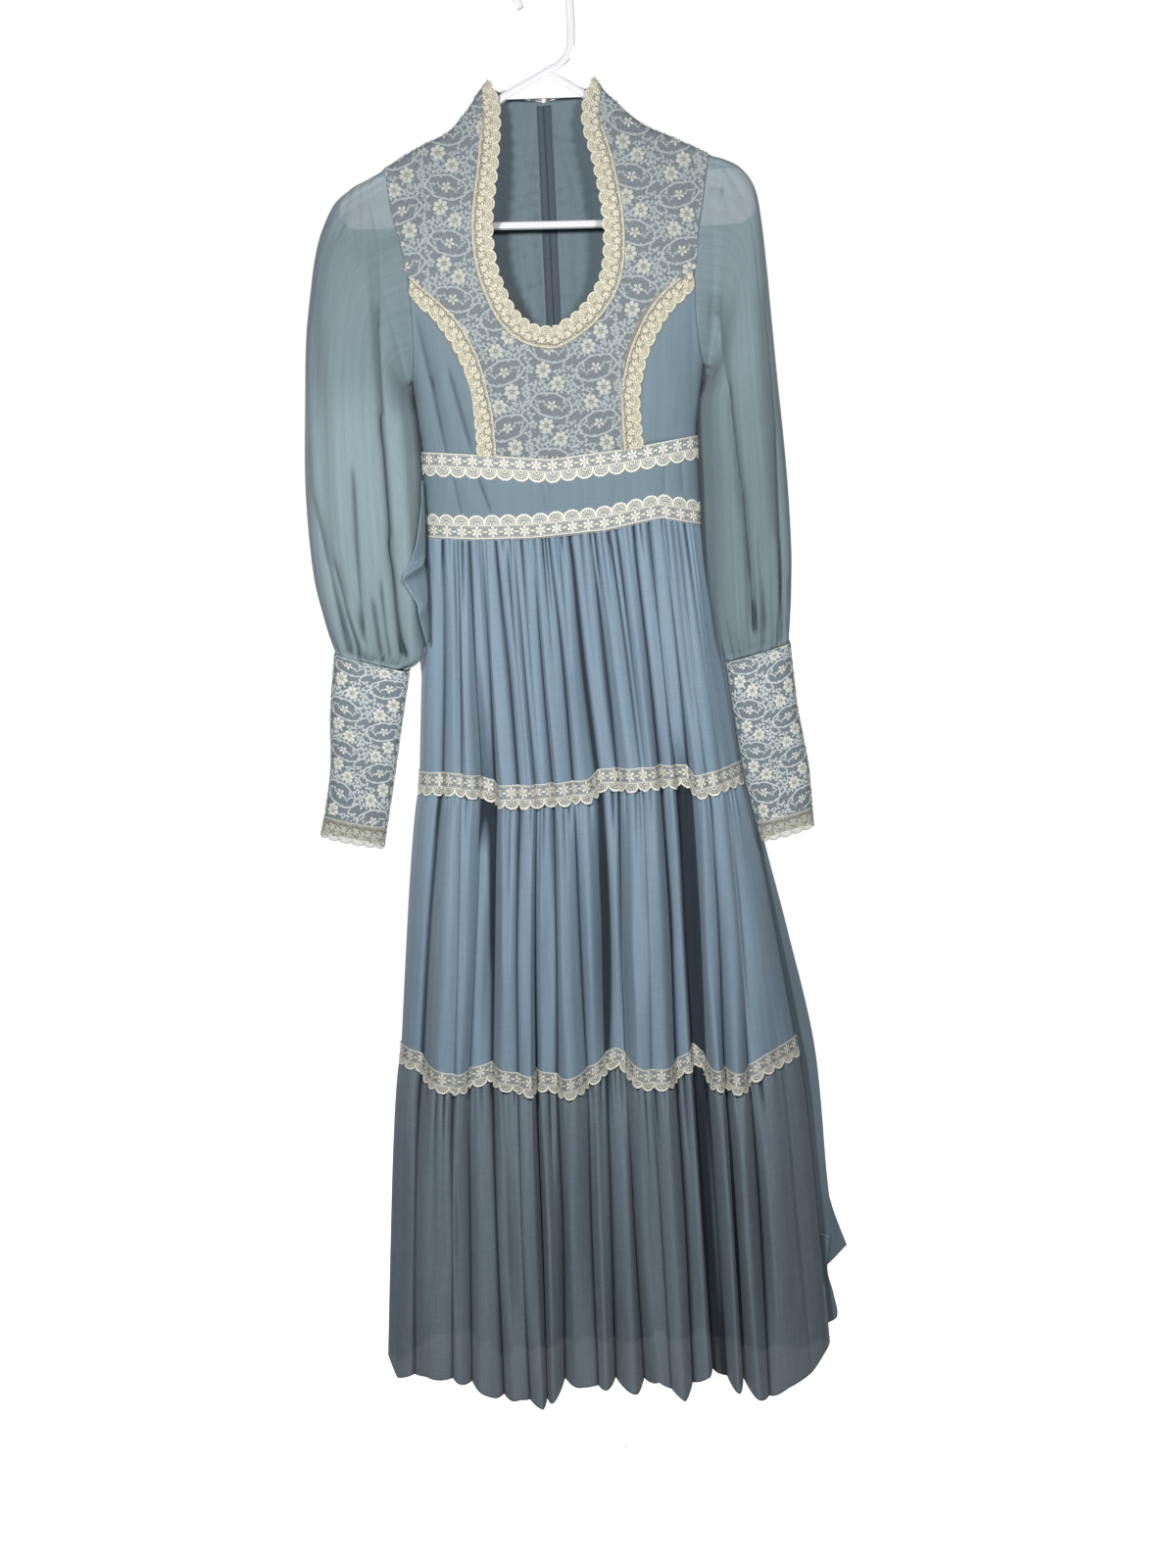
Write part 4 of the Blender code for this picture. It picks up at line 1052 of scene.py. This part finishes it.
def allover(name, yarns, columns, rows, start, size, place, keep):
    """Sews the repeat over a surface, mirrored in every second column. The yarns are the daisies' and
    the vines', and the size is a column's width and a row's height."""
    width, height = size
    scale = (width / ALLOVER_WIDTH, height / ALLOVER_HEIGHT, 1)
    made = []
    for part, cell, yarn in zip(("daisies", "vines"), (allover_flowers(), allover_vines()), yarns):
        points, faces = cell.joined()
        drawn = Threads()
        for column in columns:
            flip = -1 if column % 2 else 1
            drop = (HALF_DROP if column % 2 else 0) * height
            for row in rows:
                at = (start[0] + column * width, start[1] + row * height + drop, 0)
                drawn.add(points * scale * (flip, 1, 1) + at, faces[:, ::flip])
        made.append(sewn(f"{name}_{part}", drawn, place, MOTIF_OUT, yarn, keep))
    return made


yoke_motifs = allover(
    "yoke_lace",
    (PALE, DIM),
    range(-4, 5),
    range(-1, 9),
    (-14, 95),
    (ALLOVER_WIDTH, ALLOVER_HEIGHT),
    lambda u, v: bodice(u, -v, -1, 0, SHOULDER_GAP),
    lambda u, v: inside_outline(yoke_outline, u, -v) & (-v > level(MIDRIFF_TOP, u) + 0.5),
)


# Creases pressed into the front: x and z of both ends, width, depth
SIDE_FRONT_CREASES = (
    (-144, -322, -133, -395, 5, 2.4),
    (-134, -385, -123, -462, 5, 2.8),
    (-115, -378, -97, -458, 4.5, 2.4),
    (-128, -345, -113, -440, 8, -1.5),
    (128, -330, 129, -440, 5, 1.2),
    (105, -360, 104, -440, 8, -1.0),
)
MIDRIFF_CREASES = (
    (-117, -484, -112, -520, 3, 1.8),
    (-92, -486, -81, -520, 2.6, 2.2),
    (-104, -486, -98, -520, 5, -1.0),
    (-30, -490, -26, -522, 3, 0.8),
    (44, -486, 42, -518, 3, 0.9),
    (96, -478, 92, -514, 2.5, 1.4),
    (112, -476, 113, -512, 2, 1.4),
)


# Side fronts
def side_grid(table, side):
    rows = smoothed(table, 60)
    share = np.linspace(0, 1, 34)[::-side]
    x = mix(rows[:, :1], rows[:, 2:3] + side * SEAM, share)
    z = mix(rows[:, 1:2], rows[:, 3:], share)
    z[-1] = level(MIDRIFF_TOP, x[-1]) + SEAM
    return bodice(x, z, -1)[0]


for name, table, side in (("left", SIDE_LEFT, -1), ("right", SIDE_RIGHT, 1)):
    grid = creased(side_grid(table, side), SIDE_FRONT_CREASES)
    cloth(f"side_front_{name}_cloth", [grid], BLUE, f"side_front_{name}")


# Backs
def zip_x(z):
    return mix(ZIP_X_TOP, ZIP_X_WAIST, np.clip((COLLAR_BACK_Z - z) / (COLLAR_BACK_Z - WAIST_Z), 0, 1))


def back_grid(table, side):
    places = np.linspace(0, len(table) - 1, 110)
    rows = rows_at(table, places)
    share = np.linspace(0, 1, 40)[::side]
    centre_x = zip_x(rows[:, 2:]) + side * SEAM
    x = mix(rows[:, :1], centre_x, share)
    sag = share ** mix(0.5, 1.0, np.clip(places - 7, 0, 1))[:, None]
    z = mix(rows[:, 1:2], rows[:, 2:], sag)
    z[-1] = level(MIDRIFF_TOP, x[-1]) + SEAM
    gap = np.where(places < 9, SHOULDER_GAP, SEAM)[:, None]
    return bodice(x, z, 1, 0, gap)[0]


# Puckers beside the zip
puckers = []
rng = np.random.default_rng(12)
for side in (-1, 1):
    for z in np.arange(-150, -440, -13.0):
        start = zip_x(z) + side * (TAPE_HALF + 1)
        drop = rng.uniform(-5, 5)
        puckers.append((start, z, start + side * rng.uniform(12, 34), z + drop, 4.2, rng.uniform(1.2, 2.8)))

for name, table, side in (("left", BACK_LEFT, -1), ("right", BACK_RIGHT, 1)):
    grid = creased(back_grid(table, side), puckers, 1)
    cloth(f"back_{name}_cloth", [grid], SHADED_BACK_BLUE, f"back_{name}")


# Midriff and its edgings
def body_x(share, z):
    """X round the waist at a share from -1 at the left side to 1 at the right."""
    left, right = (np.interp(z, SECTION[:, 0], SECTION[:, k]) for k in (1, 2))
    return mix(left, right, (share + 1) / 2)


def band_grid(face, start, end, top, bottom, out=0.0, tall=14, wide=140):
    """A band round the body between two distances from the midriff's seams. Its columns are closer
    together towards the sides."""
    share = np.sin(np.linspace(math.asin(start), math.asin(end), wide))[::-face]
    x = body_x(share, MIDRIFF_Z)
    edges = [level(seam, x) + away for seam, away in (top, bottom)]
    z = mix(edges[0], edges[1], np.linspace(0, 1, tall)[:, None])
    x = body_x(share, z)
    return bodice(x, z, face, out)[0]


ZIP_SHARE = 2 * (ZIP_X_WAIST - MIDRIFF_SIDES[0]) / (MIDRIFF_SIDES[1] - MIDRIFF_SIDES[0]) - 1
ZIP_GAP = 0.004
FACES = (
    ("front", -1, -1, 1),
    ("back_left", 1, -1, ZIP_SHARE - ZIP_GAP),
    ("back_right", 1, ZIP_SHARE + ZIP_GAP, 1),
)
for name, face, start, end in FACES:
    band = band_grid(face, start, end, (MIDRIFF_TOP, -SEAM), (MIDRIFF_BOTTOM, SEAM), tall=24)
    band = creased(band, MIDRIFF_CREASES, face)
    cloth(f"midriff_{name}_cloth", [band], BLUE, f"midriff_{name}")
    for which, top, bottom, first in (
        ("top", (MIDRIFF_TOP, 1), (MIDRIFF_TOP, -WAIST_LACE), True),
        ("bottom", (MIDRIFF_BOTTOM, WAIST_LACE), (MIDRIFF_BOTTOM, -2), False),
    ):
        grid = band_grid(face, start, end, top, bottom, 1.2, 8)
        edging(
            f"waist_{which}_{name}",
            f"lace_waist_{which}_{name}",
            grid[:6] if first else grid[2:],
            grid,
            0.2,
            (WAIST_LACE, DAISY_REPEAT),
            EDGE_NET,
            WHITE_THREAD,
            first,
        )


# Neck, collar and yoke edgings
NECK_STEP = 1.6
NECK_OVER = 2.5  # how far the edging passes the edge of the neck
neck_path = np.concatenate([neck_line(YOKE_LEFT, 90), neck_line(YOKE_RIGHT, 90)[::-1][1:]])
along = lengths(neck_path, 0)
at = np.linspace(0, along[-1], round(along[-1] / NECK_STEP))
neck_path = np.stack([np.interp(at, along, neck_path[:, k]) for k in (0, 1)], -1)
from_end = np.minimum(lengths(neck_path, 0), lengths(neck_path[::-1], 0)[::-1])
neck_width = np.interp(from_end, *np.array(NECK_LACE_WIDTH).T)
ahead = unit(np.gradient(neck_path, axis=0))
away = mix(-NECK_OVER, neck_width, np.linspace(0, 1, 8)[:, None])
x = neck_path[:, 0] + ahead[:, 1] * away
z = neck_path[:, 1] - ahead[:, 0] * away
grid = bodice(x, z, -1, 0.0, SHOULDER_GAP)[0]
edging(
    "neck",
    "lace_neck",
    moved_out(grid[1:], EDGING_NET_OUT),
    grid,
    EDGING_OUT,
    (NECK_LACE, BEAD_REPEAT),
    DENSE_NET,
    CREAM,
    False,
)

for name, table, side in (("left", YOKE_LACE_LEFT, -1), ("right", YOKE_LACE_RIGHT, 1)):
    rows = smoothed(table, 120)
    share = np.linspace(0, 1, 8)[::-side, None]
    x, z = mix(rows[:, 0], rows[:, 2], share), mix(rows[:, 1], rows[:, 3], share)
    grid = bodice(x, z, -1)[0]
    edging(
        f"yoke_edging_{name}",
        f"lace_bib_{name}",
        moved_out(grid, EDGING_NET_OUT),
        grid,
        EDGING_OUT,
        (YOKE_LACE, BEAD_REPEAT),
        DENSE_NET,
        CREAM,
        side < 0,
    )

for name, table, side in (("left", BACK_LEFT, -1), ("right", BACK_RIGHT, 1)):
    share = np.linspace(0.24, 0.97, 60)[::side]
    rows = rows_at(table, np.linspace(0, 1, 6))
    x = mix(rows[:, :1], zip_x(rows[:, 2:]), share)
    z = mix(rows[:, 1:2], rows[:, 2:], share**0.5) + np.linspace(7, 0, 6)[:, None] * share**0.5
    grid = bodice(x, z, 1, 0.5, SHOULDER_GAP)[0]
    size = (COLLAR_LACE, COLLAR_REPEAT)
    edging(f"collar_{name}", f"lace_collar_{name}", grid[2:], grid, 0.3, size, DENSE_NET, CREAM, False)


# Gathers, by where they start: mean width, depth and how far down they reach
SKIRT_GATHERS = (((6.0, 8.5, 50), (13, 9, 130)), ((7, 8, 40), (17, 10, 95)), ((7, 8, 40), (18, 10, 95)))
LEAN = 0.5  # how much of the way to the next valley a ridge leans at most
DRIFT = 0.24  # how much a fold's stand changes between its seams
SWING = 2.0  # and how far it goes to one side
GAP_SHADE_FROM = 0.29  # the stand below which a fold gets painted shade, for the dark between its neighbours
GAP_SHADE_OVER = 0.12
GAP_SHADES = (0.55, 1, 1)  # how dark that painted shade is, by tier
LACE_UP = 19.0  # how far a tier's edging reaches above its seam
LACE_DOWN = 5.0  # and how far it hangs over the next tier
LACE_OFF = 2.6


def fold_columns(face, columns):
    """Fine columns of x and stand at the four heights. A fold is round on its ridge, which leans to
    one side, and sharp in its valley."""
    rows = np.array(FOLDS, float)
    stand = rows[:, 4:].mean(1)
    ridge = np.concatenate([[False], (stand[1:-1] > stand[:-2]) & (stand[1:-1] > stand[2:]), [False]])
    lean = np.random.default_rng(31).uniform(-LEAN, LEAN, len(rows))
    for k in np.flatnonzero(ridge):
        rows[k, :4] += lean[k] * abs(rows[k + (1 if lean[k] > 0 else -1), :4] - rows[k, :4])
    t = np.arange(columns)[:, None] / columns
    xs, stands = [], []
    for low, high in zip(rows, rows[1:]):
        xs.append(mix(low[:4], high[:4], t))
        rise = np.sin(np.pi / 2 * t) ** 0.85
        fall = 1 - np.sin(np.pi / 2 * (1 - t)) ** 0.85
        stands.append(mix(low[4:], high[4:], np.where(low[4:] < high[4:], rise, fall)))
    x = np.concatenate([*xs, rows[-1:, :4]])
    stand = np.concatenate([*stands, rows[-1:, 4:]])
    if face > 0:
        x = rows[0, :4] + rows[-1, :4] - x
    return x, stand


def gathers(at, away, rng, rows):
    """Round ridges between sharp valleys, which fade away from the seam where they start. Places are
    given along the seam and distances away from it."""
    total = 0
    for period, deep, reach in rows:
        count = max(3, round((at.max() - at.min()) / period))
        knots = np.cumsum(rng.uniform(0.35, 1.65, count + 1))
        knots = mix(at.min(), at.max(), (knots - knots[0]) / (knots[-1] - knots[0]))
        phase = np.interp(at, knots, np.arange(count + 1))
        valley = np.rint(phase).astype(int)
        off = np.abs(phase - valley)
        depth = rng.uniform(0.3, 1, count + 1)[valley] * deep
        reaches = rng.choice([0.4, 0.7, 1.1, 1.9], count + 1)[valley] * reach
        fade = np.exp(-((away / reaches) ** 1.4))
        total = total - depth * fade * (1 - np.sin(np.pi * off) ** 0.75)
    return total


def wandering(rng, place, columns):
    """Values from -1 to 1 that change slowly from fold to fold and down a tier, and are 0 at its
    seams and its sides."""
    knots = rng.uniform(-1, 1, (3, len(FOLDS)))
    knots[[0, -1]] = 0
    knots[:, [0, -1]] = 0
    by_height = rows_at(knots, place[:, 0] * 2)
    folds = np.arange((len(FOLDS) - 1) * columns + 1) / columns
    return rows_at(by_height.T, folds).T


def skirt_grid(tier, face, columns, tall=60):
    x_at, stand_at = fold_columns(face, columns)
    upper, lower = tier - 1, tier
    place = np.concatenate([[0, 0.008], np.linspace(0.025, 0.975, tall - 4), [0.992, 1]])[:, None]
    x = mix(x_at[:, upper], x_at[:, lower], place)
    stand = mix(stand_at[:, upper], stand_at[:, lower], place)
    left, right = x.min(1, keepdims=True), x.max(1, keepdims=True)
    puff = np.sin(np.pi * place**0.5)
    depth = mix(SKIRT_DEPTH[upper], SKIRT_DEPTH[lower], place) + PUFF * puff
    fold = mix(FOLD_DEPTH[upper], FOLD_DEPTH[lower], place) * (1 if face < 0 else BACK_FOLDS)
    top = level(SEAMS[upper], x_at[:, upper]) - SEAM
    bottom = level(SEAMS[lower], x_at[:, lower]) + (SEAM if tier < 3 else 0)
    z = mix(top, bottom, place)
    share = 2 * (x - left) / (right - left) - 1
    across = np.minimum(1, np.abs(share))
    rng = np.random.default_rng(20 * tier + face)
    detail = gathers(x_at[:, upper] + 0 * place, top - z, rng, SKIRT_GATHERS[upper])
    stand = np.clip(stand + DRIFT * wandering(rng, place, columns), 0, 1.05)
    x = x + SIDE_PUFFS[upper] * puff * share**3 + SWING * wandering(rng, place, columns)
    y = depth * (1 - across**4) ** 0.5 + (fold * stand + detail) * (1 - across**10)
    # Painted shade where a fold stands low between its neighbours
    gap_shade = GAP_SHADES[upper] * np.clip((GAP_SHADE_FROM - stand) / GAP_SHADE_OVER, 0, 1) * (1 - across**8)
    return np.stack([x, face * np.maximum(SIDE_GAP, y), z], -1), gap_shade


def hanging_edge(grid):
    """The lower edge of a tier as a strip for its edging, which hangs free over the next tier."""
    down = lengths(grid, 0)[-1].mean()
    first = int((1 - LACE_UP / down) * (len(grid) - 1))
    rows = moved_out(grid[first:], 1.0)
    hang = rows[-1:] + LACE_DOWN * unit(rows[-1:] - rows[-4:-3])
    hang += (LACE_OFF - 1) * normals_of(rows)[-1:]
    places = np.linspace(0, len(rows), 10)
    strip = np.concatenate([rows, hang])
    return rows_at(strip.reshape(len(strip), -1), places).reshape(10, -1, 3)


for face, name, columns in ((-1, "front", 8), (1, "back", 5)):
    for tier in (1, 2, 3):
        grid, gap_shade = skirt_grid(tier, face, columns)
        material = LOW_BLUE if tier == 3 else SKIRT_BLUE
        cloth(f"tier_{tier}_{name}_cloth", [grid], material, f"tier_{tier}_{name}", shade=gap_shade)
        if tier == 3:
            continue
        strip = hanging_edge(grid)
        edging(
            f"tier_{tier}_{name}",
            f"lace_tier_{tier}_{name}",
            strip[:7],
            strip,
            0.3,
            (lengths(strip, 0)[-1].mean(), DAISY_REPEAT),
            EDGE_NET,
            WHITE_THREAD,
        )


# Creases of the sleeves' fronts: x and z of both ends, width, depth
CREASES_LEFT = (
    (-172, -215, -177, -330, 5, 2.5),
    (-177, -315, -179, -440, 4.5, 7),
    (-179, -420, -179, -560, 4.5, 11),
    (-179, -540, -177, -672, 4.5, 12),
    (-256, -500, -234, -652, 4, 4),
    (-241, -560, -224, -658, 4, 5),
    (-214, -470, -217, -640, 4.5, 4.5),
    (-194, -580, -191, -664, 3.6, 5),
    (-204, -600, -200, -664, 3, 3),
    (-232, -600, -214, -656, 5, -2.5),
    (-253, -300, -252, -520, 6, -2.5),
    (-190, -250, -189, -440, 5, -2.5),
    (-228, -330, -230, -560, 10, -3),
    (-166, -420, -167, -640, 6, -3),
    (-184, -184, -176, -240, 3, 3),
    (-192, -186, -196, -262, 3, 3),
    (-200, -190, -214, -244, 3.5, 2.5),
    (-206, -196, -230, -234, 3.5, 2),
)
CREASES_RIGHT = (
    (156, -225, 153, -340, 6, 2.5),
    (153, -325, 157, -420, 5, 7),
    (157, -408, 168, -528, 4.5, 10),
    (168, -515, 176, -655, 4, 10),
    (204, -320, 209, -474, 4, 3.5),
    (209, -465, 206, -640, 4, 6),
    (184, -560, 187, -655, 4, 3),
    (196, -600, 196, -650, 3.2, 2),
    (216, -600, 212, -655, 3, 3),
    (186, -330, 192, -560, 9, -3),
    (200, -560, 201, -645, 4, -2.5),
    (150, -190, 146, -262, 3, 3),
    (160, -188, 168, -240, 3, 3),
    (168, -192, 186, -232, 3.5, 2.5),
)
CAP_GATHERS = ((11, 2.4, 40), (26, 3.0, 80))
CUFF_GATHERS = ((8, 3.6, 26), (19, 5.5, 80))
# How much painted shade a sleeve gets, by height: z, left, right
SLEEVE_SHADES = (
    (-640, 0.1, 0.32),
    (-500, 0.04, 0.4),
    (-430, 0.1, 0.36),
    (-380, 0.28, 0.26),
    (-250, 0.34, 0.26),
    (-190, 0.14, 0.12),
)
SLEEVE_COLUMNS, SLEEVE_ROWS = 200, 92
CUFF_COLUMNS, CUFF_ROWS = 88, 60
ARMHOLE_RADIUS = 38.0
UNDERARM = 14.0  # how far the fullness under the arm goes
UNDERARM_AT = 0.32  # where it is, in radians towards the back from the side next to the body
UNDERARM_WIDE = 0.3
UNDERARM_DOWN = 3.5  # rings over which it grows
TUCK = 7.0
CUFF_REPEAT = 44.0


def ring_grid(rows, wide):
    """Closed rings, from the left end round the front to the right end and back."""
    angle = TURN * np.arange(wide) / wide
    share = (1 - np.cos(angle)) / 2
    x = mix(rows[:, :1], rows[:, 2:3], share)
    z = mix(rows[:, 1:2], rows[:, 3:4], share)
    y = rows[:, 4:5] - rows[:, 5:6] * np.sin(angle)
    return np.stack([x, y, z], -1)


def armhole_row(armhole, side, wide):
    angle = TURN * np.arange(wide) / wide
    share = (1 - np.cos(angle)) / 2
    share = share if side < 0 else 1 - share
    z = mix(armhole[0][0], armhole[-1][0], share)
    line = smoothed(armhole, 60)[::-1]
    x = np.interp(z, line[:, 0], line[:, 1])
    y = np.where(np.sin(angle) > 1e-6, bodice_y(x, z, -1), bodice_y(x, z, 1))
    y = np.where(np.abs(np.sin(angle)) < 1e-6, 0, y)
    return np.stack([x + side * ARMHOLE_GAP, y, z], -1)


def sleeve_grid(armhole, table, side, wide, tall):
    """A sleeve from inside the armhole down, gathered at its cap and its cuff. Its fullness under the
    arm lies against the body's side. It comes with painted shade, by height and under the arm."""
    first = armhole_row(armhole, side, wide)
    knots = np.concatenate([[first], ring_grid(np.array(table, float), wide)])
    places = np.linspace(0, len(knots) - 1, tall)
    grid = rows_at(knots.reshape(len(knots), -1), places).reshape(tall, wide, 3)
    angle = TURN * np.arange(wide) / wide
    inner = math.pi if side < 0 else 0
    off = (angle - inner + side * UNDERARM_AT + math.pi) % TURN - math.pi
    grown = np.sin(np.pi / 2 * np.clip(places / UNDERARM_DOWN - 0.1, 0, 1)) ** 2
    under = np.exp(-((off / UNDERARM_WIDE) ** 2)) * grown[:, None]
    under *= np.clip(len(knots) - 2 - places, 0, 1)[:, None]
    grid[..., 0] -= side * UNDERARM * under
    grid[..., 1] += 1.5 * UNDERARM * under
    down, around = lengths(grid, 0), lengths(grid[-1], 0)
    rng = np.random.default_rng(7 + side)
    from_top = (1 + side * np.cos(angle)) / 2
    cap = gathers(ARMHOLE_RADIUS * angle + 0 * down, down, rng, CAP_GATHERS)
    cap *= np.clip(1.6 - 3.2 * from_top, 0, 1)
    cuff = gathers(around + 0 * down, down[-1] - down, rng, CUFF_GATHERS)
    ends = np.clip(np.minimum(down / 4, (down[-1] - down) / 2), 0, 1)
    grid += ((cap + cuff) * ends)[..., None] * normals_of(grid, True)
    middle = first.mean(0)
    tucked = middle + (first - middle) * (0.96, 0.8, 0.96) - (side * TUCK, 0, 0)
    grid = np.concatenate([[tucked], grid])
    # Painted shade by height, and painted shade under the arm where the fullness lies against the body
    sleeve_shades = np.array(SLEEVE_SHADES)
    tone = np.interp(grid[..., 2], sleeve_shades[:, 0], sleeve_shades[:, 1 if side < 0 else 2])
    return grid, np.maximum(tone, 2.2 * np.concatenate([under[:1], under]) - 0.2).clip(0, 1)


for name, armhole, table, cuff, side, creases in (
    ("left", ARMHOLE_LEFT, SLEEVE_LEFT, CUFF_LEFT, -1, CREASES_LEFT),
    ("right", ARMHOLE_RIGHT, SLEEVE_RIGHT, CUFF_RIGHT, 1, CREASES_RIGHT),
):
    # The tone is the sleeve's painted shade
    grid, tone = sleeve_grid(armhole, table, side, SLEEVE_COLUMNS, SLEEVE_ROWS)
    loose = np.clip((np.arange(len(grid)) - 3) / 6, 0, 1)[:, None, None]
    grid = mix(grid, creased(grid, creases, -1, True), loose)
    cloth(f"sleeve_{name}_cloth", [grid], SLEEVE_BLUE, f"sleeve_{name}", closed=True, shade=tone)

    rings = ring_grid(smoothed(cuff, CUFF_ROWS), CUFF_COLUMNS)
    cloth(f"cuff_{name}_cloth", [rings[:-4]], BLUE, f"cuff_{name}", closed=True)
    lace_from = round((CUFF_ROWS - 1) * (1 - WRIST_LACE))
    upper = rings[: lace_from + 1]
    net_rings = moved_out(upper, NET_OUT, True)
    cuff_net = cloth(f"cuff_{name}_net", [net_rings], NET, f"cuff_lace_{name}", 0, True)
    place, length = laid_on(upper, True)
    tall = lengths(upper, 0)[-1].mean()
    motifs = allover(
        f"cuff_{name}",
        (CUFF_PALE, CUFF_DIM),
        range(4),
        range(-1, 6),
        (20, 12),
        (length / 4, CUFF_REPEAT),
        place,
        lambda u, v: (v > 0) & (v < tall),
    )
    lower = moved_out(rings[lace_from:], 1.0, True)
    edging(
        f"wrist_{name}",
        f"lace_wrist_{name}",
        lower[:-3],
        lower,
        0.3,
        (lengths(lower, 0)[-1].mean(), WRIST_REPEAT),
        DENSE_NET,
        PALE,
        closed=True,
    )


# Sashes
for name, table, crumple in (
    ("left", SASH_LEFT, SASH_LEFT_CRUMPLE),
    ("right", SASH_RIGHT, SASH_RIGHT_CRUMPLE),
):
    rows = smoothed(table, 160)
    share = np.linspace(0, 2, 14)
    outer = np.stack([rows[:, 2], rows[:, 3], rows[:, 0]], -1)
    middle = np.stack([rows[:, 4], rows[:, 5], (rows[:, 0] + rows[:, 1]) / 2], -1)
    inner = np.stack([rows[:, 6], rows[:, 7], rows[:, 1]], -1)
    knots = np.stack([outer, middle, inner]).reshape(3, -1)
    grid = rows_at(knots, share).reshape(14, len(rows), 3).transpose(1, 0, 2)

    rows = smoothed(crumple, 60)
    share = np.linspace(0, 1, 10)
    z, x, y = (mix(rows[:, a : a + 1], rows[:, b : b + 1], share) for a, b in ((0, 1), (2, 4), (3, 5)))
    flap = np.stack([x, y - 2.5 * np.sin(np.pi * share), z], -1)
    if name == "right":
        flap = flap[:, ::-1]
    sash = cloth(f"sash_{name}_cloth", [grid, flap], BLUE, f"sash_{name}")
    if name == "left":
        place, length = laid_on(flap)
        hem = Threads()
        down = np.linspace(0, lengths(flap, 0)[-1].min(), 50)
        hem.line(np.stack([np.full(50, 1.2), down], -1), 0.8, 0.4)
        sewn(f"sash_{name}_hem", hem, place, 0.2, SASH_HEM)


# Hanger and zip keep their solids
for node, material in (("hanger", WHITE), ("zip_slider", METAL), ("zip_pull", METAL)):
    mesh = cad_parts[node].data
    mesh.materials.clear()
    mesh.materials.append(material)


# Zip tape, sewn to the inside of the backs, with its coil along the middle
def inside_backs(u, v):
    points, normals = bodice(zip_x(-v) + u, -v, 1)
    return points, -normals


across = np.linspace(-TAPE_HALF, TAPE_HALF, 15)
down = np.linspace(-TAPE_TOP, -TAPE_END, 110)[:, None]
tape = bodice(zip_x(-down) + across, -down, 1, -1.2)[0][:, ::-1]
tape_cloth = cloth("zip_tape_cloth", [tape], TAPE, "zip_tape", 0.3)
sewing = Threads()
for place in np.arange(-TAPE_TOP + 1, -TAPE_END, 1.3):
    sewing.line([(-0.9, place), (0.9, place + 0.4)], 0.9, 0.5)
for side in (-0.8, -0.93, 0.8):
    for place in np.arange(-TAPE_TOP + 1, -TAPE_END, 3.2):
        sewing.line([(side * TAPE_HALF, place), (side * TAPE_HALF, place + 2)], 0.5, 0.2)
coil = sewn("zip_coil", sewing, inside_backs, 1.6, COIL)


# Stage: a round floor that sweeps up into a wall on all sides, whose profile is radii and heights
FLOOR_Z = -1560
WALL_RADIUS = 7000
WALL_TOP = 8000
CORNER = 600
SIDES = 72
profile = [(1, FLOOR_Z)]
for turn in np.linspace(0, math.pi / 2, 13):
    profile.append((WALL_RADIUS - CORNER * (1 - math.sin(turn)), FLOOR_Z + CORNER * (1 - math.cos(turn))))
profile.append((WALL_RADIUS, WALL_TOP))
turns = TURN * np.arange(SIDES) / SIDES
points = [(radius * math.cos(turn), radius * math.sin(turn), z) for radius, z in profile for turn in turns]
index = np.arange(len(points)).reshape(len(profile), SIDES)
beside = np.roll(index, -1, axis=1)
faces = np.stack([index[:-1], beside[:-1], beside[1:], index[1:]], -1).reshape(-1, 4)
paper = Shader("pale_backdrop", 0.95)
paper.paint(rgb((190, 190, 190)))
paper.shader.inputs["Emission Color"].default_value = rgb((252, 252, 252))
paper.shader.inputs["Emission Strength"].default_value = 1.0
paper.material.cycles.emission_sampling = "NONE"
backdrop = mesh_object("backdrop", points, faces.tolist(), paper.material)
backdrop.visible_diffuse = False
backdrop.visible_shadow = False

world = bpy.data.worlds.new("studio")
bpy.context.scene.world = world
world.use_nodes = True
world.node_tree.nodes["Background"].inputs[0].default_value = (1, 1, 1, 1)
world.node_tree.nodes["Background"].inputs[1].default_value = 0.08


def area_light(name, at, target, size, power):
    light = bpy.data.lights.new(name, "AREA")
    light.shape = "DISK"
    light.size = size
    light.energy = power
    made = bpy.data.objects.new(name, light)
    collection.objects.link(made)
    made.location = at
    made.rotation_euler = (Vector(target) - Vector(at)).to_track_quat("-Z", "Y").to_euler()
    made.visible_camera = False


area_light("key_left", (-0.3, -1.3, -0.26), (-0.05, 0, -0.5), 0.12, 12)
area_light("key_right", (0.28, -1.3, -0.26), (-0.05, 0, -0.5), 0.12, 8.5)
area_light("back_left", (-1.0, 1.25, -0.2), (0, 0, -0.6), 0.5, 17)
area_light("back_right", (1.0, 1.25, -0.2), (0, 0, -0.6), 0.5, 14)

# Camera, at the photograph's distance and tilt
FOCAL = 1873 / 1600
PITCH = math.radians(9.5)
ROLL = math.radians(3.3)
EYE = (0, -1.9, -0.49)
cr, sr, cp, sp = math.cos(ROLL), math.sin(ROLL), math.cos(PITCH), math.sin(PITCH)
right = (cr, -sr * sp, -sr * cp)
upward = (sr, cr * sp, cr * cp)
ahead = (0, cp, -sp)
lens = bpy.data.cameras.new("camera")
lens.sensor_fit = "VERTICAL"
lens.sensor_height = 24
lens.sensor_width = 18
lens.lens = 24 * FOCAL
camera = bpy.data.objects.new("camera", lens)
collection.objects.link(camera)
turned = Matrix((right, upward, [-c for c in ahead])).transposed().to_4x4()
camera.matrix_world = Matrix.Translation(EYE) @ turned
scene = bpy.context.scene
scene.camera = camera
scene.view_settings.view_transform = "Standard"
scene.view_settings.look = "None"
